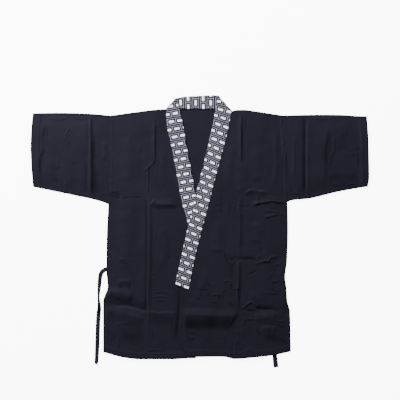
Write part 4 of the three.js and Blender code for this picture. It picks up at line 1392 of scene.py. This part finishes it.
@dataclass
class Tie:
    """A narrow tape tie, folded and stitched along both edges."""

    name: str
    node: str
    line: Table
    rests_on: tuple[str, ...]
    flat: tuple[float, float]
    parts: int = 12
    edge_radius: float = 0.7
    edge_share: float = 0.15
    flat_share: float = 0.72  # the wall's share between the two folded edges
    stitched_at: float = 0.78
    across: tuple[float, ...] = (-1.0, -0.96, -0.9, -0.78, -0.6, -0.3, 0.0, 0.3, 0.6, 0.78, 0.9,
                                 0.96, 1.0)

    def frames(self) -> dict[str, Array]:
        """The tape's middle line and its two ways, across and out of its face.

        Returns:
            The centre, across, normal and half width at each step.
        """
        rows = self.line.drawn(self.parts)
        level = np.zeros(len(rows["x"]))
        along = unit(np.column_stack([np.gradient(rows["x"]), np.gradient(rows["y"]), level]))
        up = np.array([0.0, 0.0, 1.0])
        sideways = np.cross(along, up)
        roll = np.radians(rows["roll"])[:, None]
        across = sideways * np.cos(roll) + up * np.sin(roll)
        normal = up * np.cos(roll) - sideways * np.sin(roll)
        half = 0.5 * TAPE_WIDTH * rows["width"]
        height = rows["low"] + half * np.sin(roll[:, 0]) + 0.5 * TAPE_WALL * np.cos(roll[:, 0])
        centre = np.column_stack([rows["x"], rows["y"], height])
        return {"centre": centre, "across": across, "normal": normal, "half": half}

    def build(self, material: bpy.types.Material) -> bpy.types.Object:
        """Args:
            material: The tape.

        Returns:
            The piece.
        """
        frames = self.frames()
        share = np.array(self.across)
        side = frames["half"][:, None] * share
        rim = (1.0 - np.abs(share)) * 0.5 * TAPE_WIDTH
        full = self.edge_share + (1.0 - self.edge_share) * rounding(rim, self.edge_radius)
        padding = lerp(self.flat_share, 1.0, smooth(np.abs(share), 0.5, 0.66))
        stitched = 0.16 * bell(np.abs(share) - self.stitched_at, 0.05)
        half_wall = 0.5 * TAPE_WALL * full * padding - 0.5 * stitched
        spine = frames["centre"][:, None] + frames["across"][:, None] * side[..., None]
        out = frames["normal"][:, None] * half_wall[None, :, None]
        face, back = spine + out, spine - out
        uv = np.stack(np.broadcast_arrays(side, distances(frames["centre"])[:, None]), axis=-1)
        piece = Wall(face, back, uv).build(self.name)
        dress(piece, self.node, material)
        list(self.rests_on)
        return piece


@dataclass
class Stitching:
    """Runs of lockstitch, each stitch a small thread lozenge that dips at its ends."""

    name: str
    pitch: float = 3.4
    length: float = 2.7
    width: float = 0.5
    height: float = 0.2
    runs: list[tuple[Array, Array]] = field(default_factory=list)

    def add(self, x: Array, y: Array, surface: Callable[[Array, Array], Array]) -> None:
        """Adds a run on a face that looks up.

        Args:
            x: Places along the run.
            y: Places along the run.
            surface: Height of the cloth at x and y.
        """
        points = np.column_stack([x, y, surface(x, y)])
        along = distances(points)
        places = np.arange(0.5 * self.pitch, along[-1] - 0.5 * self.pitch, self.pitch)
        centre, ahead, behind = (
            np.column_stack([np.interp(at, along, points[:, k]) for k in range(3)])
            for at in (places, places + 0.5, places - 0.5))
        way = unit(ahead - behind)
        side = unit(np.cross(way, [0.0, 0.0, 1.0]))
        self.runs.append((centre, np.stack([way, side, np.cross(side, way)], axis=1)))

    def template(self) -> tuple[Array, list[tuple[int, ...]]]:
        """One stitch, along X, with Z out of the cloth.

        Returns:
            Its points and its faces.
        """
        a, b, c = 0.5 * self.length, 0.5 * self.width, self.height
        ring = ((-b, 0.1 * c), (0, 0.8 * c), (b, 0.1 * c), (0, -0.3 * c))
        rings = [(x, y, z) for x in (-0.55 * a, 0.55 * a) for y, z in ring]
        points = np.array([(-a, 0, -0.25 * c), *rings, (a, 0, -0.25 * c)])
        faces: list[tuple[int, ...]] = []
        for k in range(4):
            after = (k + 1) % 4
            faces += [(0, 1 + after, 1 + k), (1 + k, 1 + after, 5 + after, 5 + k), (9, 5 + k, 5 + after)]
        return points, faces

    def build(self, material: bpy.types.Material, slot: str) -> bpy.types.Object:
        """Makes all runs as one mesh.

        Args:
            material: The thread.
            slot: The record's material slot; not used.

        Returns:
            The piece.
        """
        points, faces = self.template()
        centres = np.vstack([centre for centre, _ in self.runs])
        frames = np.vstack([frame for _, frame in self.runs])
        vertices = centres[:, None] + np.einsum("pk,nkc->npc", points, frames)
        shifts = np.arange(len(centres)) * len(points)
        polygons = [tuple(int(k + shift) for k in face) for shift in shifts for face in faces]
        mesh = smooth_mesh(self.name, vertices.reshape(-1, 3), polygons)
        mesh.update()
        piece = in_scene(self.name, mesh)
        dress(piece, None, material)
        return piece


class Signal:
    """A number socket that takes part in Python sums."""

    def __init__(self, tree: "Tree", socket: bpy.types.NodeSocket) -> None:
        """Wraps a socket of a tree."""
        self.tree = tree
        self.socket = socket

    def math(self, operation: str, *values: "Signal | float", clamp: bool = False) -> "Signal":
        """Adds a Math node.

        Args:
            operation: Its operation.
            *values: Its inputs after this one.
            clamp: Whether the result stays from 0 to 1.

        Returns:
            The result.
        """
        inputs = dict(enumerate((self, *values)))
        settings = {"operation": operation, "use_clamp": clamp}
        return self.tree.node("ShaderNodeMath", settings, inputs).signal(0)

    def __add__(self, other: "Signal | float") -> "Signal":
        """Sum."""
        return self.math("ADD", other)

    __radd__ = __add__

    def __sub__(self, other: "Signal | float") -> "Signal":
        """Difference."""
        return self.math("SUBTRACT", other)

    def __rsub__(self, other: float) -> "Signal":
        """Difference from a number."""
        return (self * -1.0) + other

    def __mul__(self, other: "Signal | float") -> "Signal":
        """Product."""
        return self.math("MULTIPLY", other)

    __rmul__ = __mul__

    def __truediv__(self, other: "Signal | float") -> "Signal":
        """Quotient."""
        return self.math("DIVIDE", other)

    def __abs__(self) -> "Signal":
        """Absolute value."""
        return self.math("ABSOLUTE")

    def fract(self) -> "Signal":
        """The part after the point."""
        return self.math("FRACT")

    def floor(self) -> "Signal":
        """The whole part."""
        return self.math("FLOOR")

    def sine(self) -> "Signal":
        """The sine."""
        return self.math("SINE")

    def larger(self, other: "Signal | float") -> "Signal":
        """The larger of two."""
        return self.math("MAXIMUM", other)

    def under(self, limit: float, soft: float) -> "Signal":
        """1 below a limit and 0 above it, with a soft step of the given width."""
        return (self * (-1.0 / soft)).math("ADD", limit / soft + 0.5, clamp=True)


class Placed:
    """A node that was added to a tree."""

    def __init__(self, tree: "Tree", node: bpy.types.Node) -> None:
        """Wraps a node of a tree."""
        self.tree = tree
        self.node = node

    def signal(self, output: str | int) -> Signal:
        """One of its outputs as a number."""
        return Signal(self.tree, self.node.outputs[output])


class Tree:
    """The node tree of one material."""

    def __init__(self, name: str) -> None:
        """Makes an empty material.

        Args:
            name: Its name.
        """
        self.material = bpy.data.materials.new(name)
        self.material.use_nodes = True
        self.nodes = self.material.node_tree.nodes
        self.links = self.material.node_tree.links
        self.nodes.clear()

    def node(self, kind: str, settings: dict[str, object], inputs: dict[str | int, object]) -> Placed:
        """Adds a node.

        Args:
            kind: Its type.
            settings: Its properties.
            inputs: Values or links of its sockets, by name, identifier or number.

        Returns:
            The node.
        """
        node = self.nodes.new(kind)
        for key, value in settings.items():
            setattr(node, key, value)
        for key, value in inputs.items():
            socket = self.find(node, key)
            source = value.socket if isinstance(value, Signal) else value
            if isinstance(source, bpy.types.NodeSocket):
                self.links.new(source, socket)
            else:
                socket.default_value = source
        return Placed(self, node)

    @staticmethod
    def find(node: bpy.types.Node, key: str | int) -> bpy.types.NodeSocket:
        """Finds an input socket.

        Args:
            node: The node.
            key: The socket's number, identifier or name.

        Returns:
            The socket.
        """
        if isinstance(key, int):
            return node.inputs[key]
        by_identifier = [socket for socket in node.inputs if socket.identifier == key]
        return by_identifier[0] if by_identifier else node.inputs[key]

    def cloth_place(self) -> tuple[Signal, Signal]:
        """Places on the cloth from its UV map, in millimetres.

        Returns:
            The map's two numbers.
        """
        uv = self.node("ShaderNodeUVMap", {"uv_map": "cut"}, {})
        parts = self.node("ShaderNodeSeparateXYZ", {}, {0: uv.node.outputs["UV"]})
        return parts.signal("X") / MM, parts.signal("Y") / MM

    def noise(self, size: float, detail: float, roughness: float) -> Signal:
        """Noise in the piece's own space.

        Args:
            size: Size of its spots in millimetres.
            detail: Its finer layers.
            roughness: Their share.

        Returns:
            A number from 0 to 1.
        """
        place = self.node("ShaderNodeTexCoord", {}, {}).node.outputs["Object"]
        return self.node("ShaderNodeTexNoise", {"noise_dimensions": "3D"}, {
            "Vector": place, "Scale": 1.0 / (size * MM), "Detail": detail, "Roughness": roughness,
        }).signal(0)

    def mix(self, share: Signal | float, first: object, second: object) -> bpy.types.NodeSocket:
        """Mixes two colours.

        Args:
            share: Share of the second.
            first: Colour or link.
            second: Colour or link.

        Returns:
            The colour output.
        """
        settings = {"data_type": "RGBA", "blend_type": "MIX"}
        inputs = {"Factor_Float": share, "A_Color": first, "B_Color": second}
        node = self.node("ShaderNodeMix", settings, inputs).node
        return next(socket for socket in node.outputs if socket.identifier == "Result_Color")

    def bump(
        self, height: Signal, depth: float, strength: float,
        under: bpy.types.NodeSocket | None = None,
    ) -> bpy.types.NodeSocket:
        """Turns a height from 0 to 1 into a normal.

        Args:
            height: The height.
            depth: What 1 means, in millimetres.
            strength: Share of the effect.
            under: A coarser normal that it lies on, if any.

        Returns:
            The normal output.
        """
        inputs = {"Height": height, "Distance": depth * MM, "Strength": strength}
        if under is not None:
            inputs["Normal"] = under
        return self.node("ShaderNodeBump", {}, inputs).node.outputs["Normal"]

    def surface(self, inputs: dict[str, object]) -> bpy.types.Material:
        """Ends the tree in a shader.

        Args:
            inputs: Sockets of the shader.

        Returns:
            The material.
        """
        shader = self.node("ShaderNodeBsdfPrincipled", {}, inputs).node
        end = self.nodes.new("ShaderNodeOutputMaterial")
        self.links.new(shader.outputs["BSDF"], end.inputs["Surface"])
        return self.material


def opaque(colour: tuple[float, float, float], share: float = 1.0) -> tuple[float, float, float, float]:
    """A colour with alpha, made darker or lighter."""
    return (colour[0] * share, colour[1] * share, colour[2] * share, 1.0)


@dataclass(frozen=True)
class NavyTwill:
    """The body cloth: navy-black twill, matt, with a faint sheen, worn tone and painted shade from the
    tone attribute.
    """

    name: str = "navy_twill"
    colour: tuple[float, float, float] = (0.0085, 0.008, 0.0144)
    twill_pitch: float = 0.85
    slope: float = 1.0
    sheen: float = 0.01
    shine: float = 0.06
    rumple_depth: float = 0.9
    weave_depth: float = 0.09

    def material(self) -> bpy.types.Material:
        """Builds the material.

        Returns:
            The material.
        """
        tree = Tree(self.name)
        across, along = tree.cloth_place()
        diagonal = (along + across * self.slope) / self.twill_pitch
        rib = abs(diagonal.fract() - 0.5) * 2.0
        floats = abs((along / self.twill_pitch).fract() - 0.5) * 2.0
        slub = tree.noise(2.2, 2.0, 0.6)
        patches = tree.noise(70.0, 3.0, 0.6)
        mottle = tree.noise(14.0, 3.0, 0.65)
        tone = patches * 0.7 + mottle * 0.5 + rib * 0.12 + slub * 0.18
        # painted shade: the tone attribute darkens the colour towards a tenth of it in the creases and
        # along the outline
        depth = tree.node("ShaderNodeAttribute", {"attribute_name": "tone"}, {}).signal("Fac")
        dyed = (tone - 0.45).math("MULTIPLY", 1.1, clamp=True)
        worn = tree.mix(dyed, opaque(self.colour, 0.78), opaque(self.colour, 1.3))
        colour = tree.mix(depth, opaque(self.colour, 0.1), worn)
        weave = rib * 0.5 + floats * 0.15 + slub * 0.35
        crinkle = tree.noise(9.0, 4.0, 0.62)
        rumple = tree.noise(26.0, 3.0, 0.6)
        soft = tree.bump(rumple * 0.65 + crinkle * 0.35, self.rumple_depth, 0.8)
        fine = tree.bump(weave, self.weave_depth, 0.55, soft)
        return tree.surface({
            "Base Color": colour, "Roughness": mottle * 0.14 + 0.7, "Normal": fine,
            "Specular IOR Level": self.shine, "Sheen Weight": self.sheen, "Sheen Roughness": 0.45,
        })


@dataclass(frozen=True)
class LatticePrint:
    """The band's cotton: dark, with white bricks in a pale lattice."""

    name: str = "lattice_print"
    white: tuple[float, float, float] = (0.92, 0.92, 0.96)
    ink: tuple[float, float, float] = (0.004, 0.004, 0.009)
    line: tuple[float, float, float] = (0.24, 0.225, 0.3)
    row_pitch: float = 23.8
    brick_pitch: float = 26.4
    row_start: float = 10.0
    brick_start: float = 29.0
    block_half: tuple[float, float] = (3.7, 7.9)
    rail_from: float = 8.3
    rail_to: float = 9.7
    upright_from: float = 12.3
    soft: float = 0.3
    canvas_pitch: float = 0.62
    crinkle_depth: float = 0.35
    weave_depth: float = 0.07

    def material(self) -> bpy.types.Material:
        """Builds the material.

        Returns:
            The material.
        """
        tree = Tree(self.name)
        along, across = tree.cloth_place()
        row = (along - self.row_start) / self.row_pitch
        odd = (row.floor() / 2.0).fract()
        from_row = abs(row.fract() - 0.5) * self.row_pitch
        brick = (across - self.brick_start) / self.brick_pitch + odd + 0.5
        from_brick = abs(brick.fract() - 0.5) * self.brick_pitch
        high, wide = self.block_half
        block = from_row.under(high, self.soft) * from_brick.under(wide, self.soft)
        in_row = from_row.under(self.rail_to, self.soft)
        rail = in_row * (1.0 - from_row.under(self.rail_from, self.soft))
        upright = in_row * (1.0 - from_brick.under(self.upright_from, self.soft))
        lattice = rail.larger(upright)
        thread = tree.noise(0.9, 2.0, 0.6)
        wash = tree.noise(45.0, 2.0, 0.5)
        ink = tree.mix(thread * 0.6, opaque(self.ink), opaque(self.ink, 2.2))
        ground = tree.mix(wash, opaque(self.white, 0.9), opaque(self.white, 1.04))
        lined = tree.mix(lattice, ink, opaque(self.line))
        colour = tree.mix(block, lined, ground)
        wave = math.tau / self.canvas_pitch
        canvas = ((across * wave).sine() + (along * wave).sine()) * 0.25 + 0.5
        crinkle = tree.noise(12.0, 3.0, 0.6)
        soft = tree.bump(crinkle, self.crinkle_depth, 0.7)
        fine = tree.bump(canvas * 0.7 + thread * 0.3, self.weave_depth, 0.5, soft)
        return tree.surface({
            "Base Color": colour, "Roughness": 0.82, "Normal": fine,
            "Specular IOR Level": 0.1, "Sheen Weight": 0.01, "Sheen Roughness": 0.5,
        })


@dataclass(frozen=True)
class TapeCloth:
    """The ties' cloth, cut on the straight, with a rib along the tape."""

    name: str = "tape_cloth"
    colour: tuple[float, float, float] = (0.0085, 0.0084, 0.0145)
    rib_pitch: float = 0.7
    pick_pitch: float = 0.8
    edge_from: float = 4.3  # distance from the middle at which the darker folded edge starts
    edge_soft: float = 1.2
    shine: float = 0.08

    def material(self) -> bpy.types.Material:
        """Builds the material.

        Returns:
            The material.
        """
        tree = Tree(self.name)
        across, along = tree.cloth_place()
        rib = (across * (math.tau / self.rib_pitch)).sine() * 0.5 + 0.5
        edge = 1.0 - abs(across).under(self.edge_from, self.edge_soft)
        mottle = tree.noise(8.0, 3.0, 0.6)
        pick = (along * (math.tau / self.pick_pitch)).sine() * 0.5 + 0.5
        tone = mottle * 0.6 + rib * 0.1 + edge * -0.35 + 0.3
        colour = tree.mix(tone, opaque(self.colour, 0.6), opaque(self.colour, 1.5))
        normal = tree.bump(rib * 0.4 + pick * 0.25 + mottle * 0.35, 0.16, 0.7)
        return tree.surface({
            "Base Color": colour, "Roughness": 0.78, "Normal": normal,
            "Specular IOR Level": self.shine, "Sheen Weight": 0.01, "Sheen Roughness": 0.45,
        })


@dataclass(frozen=True)
class Thread:
    """Sewing thread, a little glossier than the cloth it lies on."""

    name: str = "navy_thread"
    colour: tuple[float, float, float] = (0.009, 0.0088, 0.0145)

    def material(self) -> bpy.types.Material:
        """Builds the material.

        Returns:
            The material.
        """
        tree = Tree(self.name)
        twist = tree.noise(0.5, 2.0, 0.6)
        colour = tree.mix(twist, opaque(self.colour, 0.8), opaque(self.colour, 1.3))
        return tree.surface({
            "Base Color": colour, "Roughness": 0.5, "Normal": tree.bump(twist, 0.08, 0.5),
            "Specular IOR Level": 0.45,
        })


@dataclass(frozen=True)
class PaleFloor:
    """A plain pale floor."""

    name: str = "pale_floor"
    colour: tuple[float, float, float] = (0.9, 0.9, 0.9)
    glow: float = 9.0

    def material(self) -> bpy.types.Material:
        """Builds the material.

        Returns:
            The material.
        """
        tree = Tree(self.name)
        grain = tree.noise(3.0, 2.0, 0.5)
        colour = tree.mix(grain, opaque(self.colour, 0.99), opaque(self.colour, 1.01))
        return tree.surface({
            "Base Color": colour, "Roughness": 0.9, "Specular IOR Level": 0.1,
            "Emission Color": opaque(self.colour), "Emission Strength": self.glow,
        })


@dataclass
class Studio:
    """The floor, the lights and the camera."""

    photo_width: float = 1.24
    middle: tuple[float, float] = (0.0002, 0.0975)
    lens: float = 85.0
    sensor: float = 36.0
    floor_half: float = 30.0
    floor_drop: float = 0.0004
    key_power: float = 520.0
    key_distance: float = 3.5
    key_elevation: float = 23.0
    key_azimuth: float = 122.0
    key_size: float = 0.8
    fill_energy: float = 0.5
    fill_spread: float = 60.0
    fill_turn: tuple[float, float, float] = (30.0, 0.0, 110.0)
    fill_place: tuple[float, float, float] = (1.0, 0.0, 2.0)
    ambient: float = 0.26

    def build(self) -> None:
        """Makes the stage."""
        self.floor()
        self.key()
        self.fill()
        self.world()
        self.camera()

    def floor(self) -> None:
        """Lays the floor."""
        bpy.ops.object.select_all(action="DESELECT")
        bpy.ops.mesh.primitive_grid_add(
            x_subdivisions=8, y_subdivisions=8, size=2.0 * self.floor_half,
            location=(0.0, 0.0, -self.floor_drop))
        floor = bpy.context.object
        floor.name = "floor"
        bpy.ops.object.transform_apply(location=True, rotation=True, scale=True)
        floor.data.materials.append(PaleFloor().material())

    def key(self) -> None:
        """Adds the large low light, beyond the image's top left."""
        data = bpy.data.lights.new("key", "AREA")
        data.shape, data.size, data.energy = "DISK", self.key_size, self.key_power
        elevation, azimuth = math.radians(self.key_elevation), math.radians(self.key_azimuth)
        flat = self.key_distance * math.cos(elevation)
        up = self.key_distance * math.sin(elevation)
        place = (flat * math.cos(azimuth), flat * math.sin(azimuth), up)
        self.lamp(data, place, (math.pi / 2.0 - elevation, 0.0, azimuth + math.pi / 2.0))

    def fill(self) -> None:
        """Adds a weak soft light from the right."""
        data = bpy.data.lights.new("fill", "SUN")
        data.energy, data.angle = self.fill_energy, math.radians(self.fill_spread)
        self.lamp(data, self.fill_place, tuple(math.radians(turn) for turn in self.fill_turn))

    def lamp(self, data: bpy.types.Light, place: tuple[float, ...], turn: tuple[float, ...]) -> None:
        """Places a light and turns it, in radians."""
        lamp = in_scene(data.name, data)
        lamp.location, lamp.rotation_euler = place, turn

    def world(self) -> None:
        """Lights everything evenly from all round."""
        world = bpy.data.worlds.new("studio")
        world.use_nodes = True
        background = world.node_tree.nodes["Background"]
        background.inputs["Color"].default_value = (1.0, 1.0, 1.0, 1.0)
        background.inputs["Strength"].default_value = self.ambient
        bpy.context.scene.world = world

    def camera(self) -> None:
        """Looks straight down, framed as the photograph."""
        data = bpy.data.cameras.new("camera")
        data.lens, data.sensor_width = self.lens, self.sensor
        camera = in_scene("camera", data)
        camera.location = (*self.middle, self.photo_width * self.lens / self.sensor)
        bpy.context.scene.camera = camera


@dataclass
class ChefJacket:
    """The whole jacket."""

    cloth: bpy.types.Material
    band: bpy.types.Material
    tape: bpy.types.Material
    thread: bpy.types.Material
    back: Back = field(default_factory=lambda: Back(
        "back_cloth", "back", BACK_HEM, BACK_CREASES, (0.61, 0.83), 0.475, ("floor",),
        pitch=5.0, seed=0.4))
    right_front: RightFront = field(default_factory=lambda: RightFront(
        "front_right_cloth", "front_right", RIGHT_HEM, RIGHT_FRONT_CREASES, (0.34, 0.83), 0.232,
        ("back_cloth",), seed=1.3))
    left_front: LeftFront = field(default_factory=lambda: LeftFront(
        "front_left_cloth", "front_left", LEFT_HEM, LEFT_FRONT_CREASES, (0.38, 0.83), 0.245,
        ("back_cloth", "front_right_cloth"), seed=2.6))

    edge_span: tuple[float, float] = (-384.0, -186.0)
    armhole_span: tuple[float, float] = (92.0, 354.0)
    armhole_rows: tuple[float, float] = (2.2, 7.6)
    cuff_span: tuple[float, float] = (143.0, 353.0)

    def sleeves(self) -> tuple[Sleeve, Sleeve]:
        """The two sleeves.

        Returns:
            The wearer's right one and left one.
        """
        return (
            Sleeve("sleeve_right_cloth", "sleeve_right", RIGHT_SLEEVE, RIGHT_SIDE, RIGHT_CUFF,
                   RIGHT_SLEEVE_CREASES, -1, 3.1),
            Sleeve("sleeve_left_cloth", "sleeve_left", LEFT_SLEEVE, LEFT_SIDE, LEFT_CUFF,
                   LEFT_SLEEVE_CREASES, 1, 4.4),
        )

    def ties(self) -> tuple[Tie, Tie]:
        """The two tape ties.

        Returns:
            The wearer's right one and left one.
        """
        width = TAPE_WIDTH * MM
        return (
            Tie("tie_right_tape", "tie_right", RIGHT_TIE, ("floor",), (width, 0.318)),
            Tie("tie_left_tape", "tie_left", LEFT_TIE, ("back_cloth", "floor"), (width, 0.309)),
        )

    def build(self) -> None:
        """Makes every piece and reports it."""
        for piece in (self.back, self.right_front, self.left_front, *self.sleeves()):
            report(piece.build(self.cloth))
        report(Neckband().build(self.band))
        for tie in self.ties():
            report(tie.build(self.tape))
        self.sew()

    def sew(self) -> None:
        """Adds the rows of stitches."""
        hem = Stitching("stitches_hem")
        for front, low, high in ((self.right_front, -297.0, -76.0), (self.left_front, -44.0, 279.0)):
            x = np.linspace(low, high, 160)
            hem.add(x, front.hem_line(x) + HEM_TURN - STITCH_INSET, front.top)
        y = np.linspace(*self.edge_span, 90)
        hem.add(self.left_front.front_edge(y) + EDGE_STITCH, y, self.left_front.top)
        report(hem.build(self.thread, "cloth"))
        armholes = Stitching("stitches_armholes")
        y = np.linspace(*self.armhole_span, 120)
        for offset in self.armhole_rows:
            armholes.add(self.right_front.first_side(y) + offset, y, self.right_front.top)
            armholes.add(self.left_front.last_side(y) - offset, y, self.left_front.top)
        report(armholes.build(self.thread, "cloth"))
        cuffs = Stitching("stitches_cuffs")
        y = np.linspace(*self.cuff_span, 110)
        for sleeve in self.sleeves():
            cuffs.add(sleeve.cuff_line(y) - sleeve.way * (CUFF_TURN - STITCH_INSET), y, sleeve.top)
        report(cuffs.build(self.thread, "cloth"))


def report(piece: bpy.types.Object) -> None:
    """Logs one piece."""
    LOG.info("%s: %d faces", piece.name, len(piece.data.polygons))


def main() -> None:
    """Builds the jacket and its studio in order."""
    logging.basicConfig(level=logging.INFO, format="%(name)s %(message)s")
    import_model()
    Studio().build()
    ChefJacket(
        NavyTwill().material(),
        LatticePrint().material(),
        TapeCloth().material(),
        Thread().material(),
    ).build()


if __name__ == "__main__":
    main()
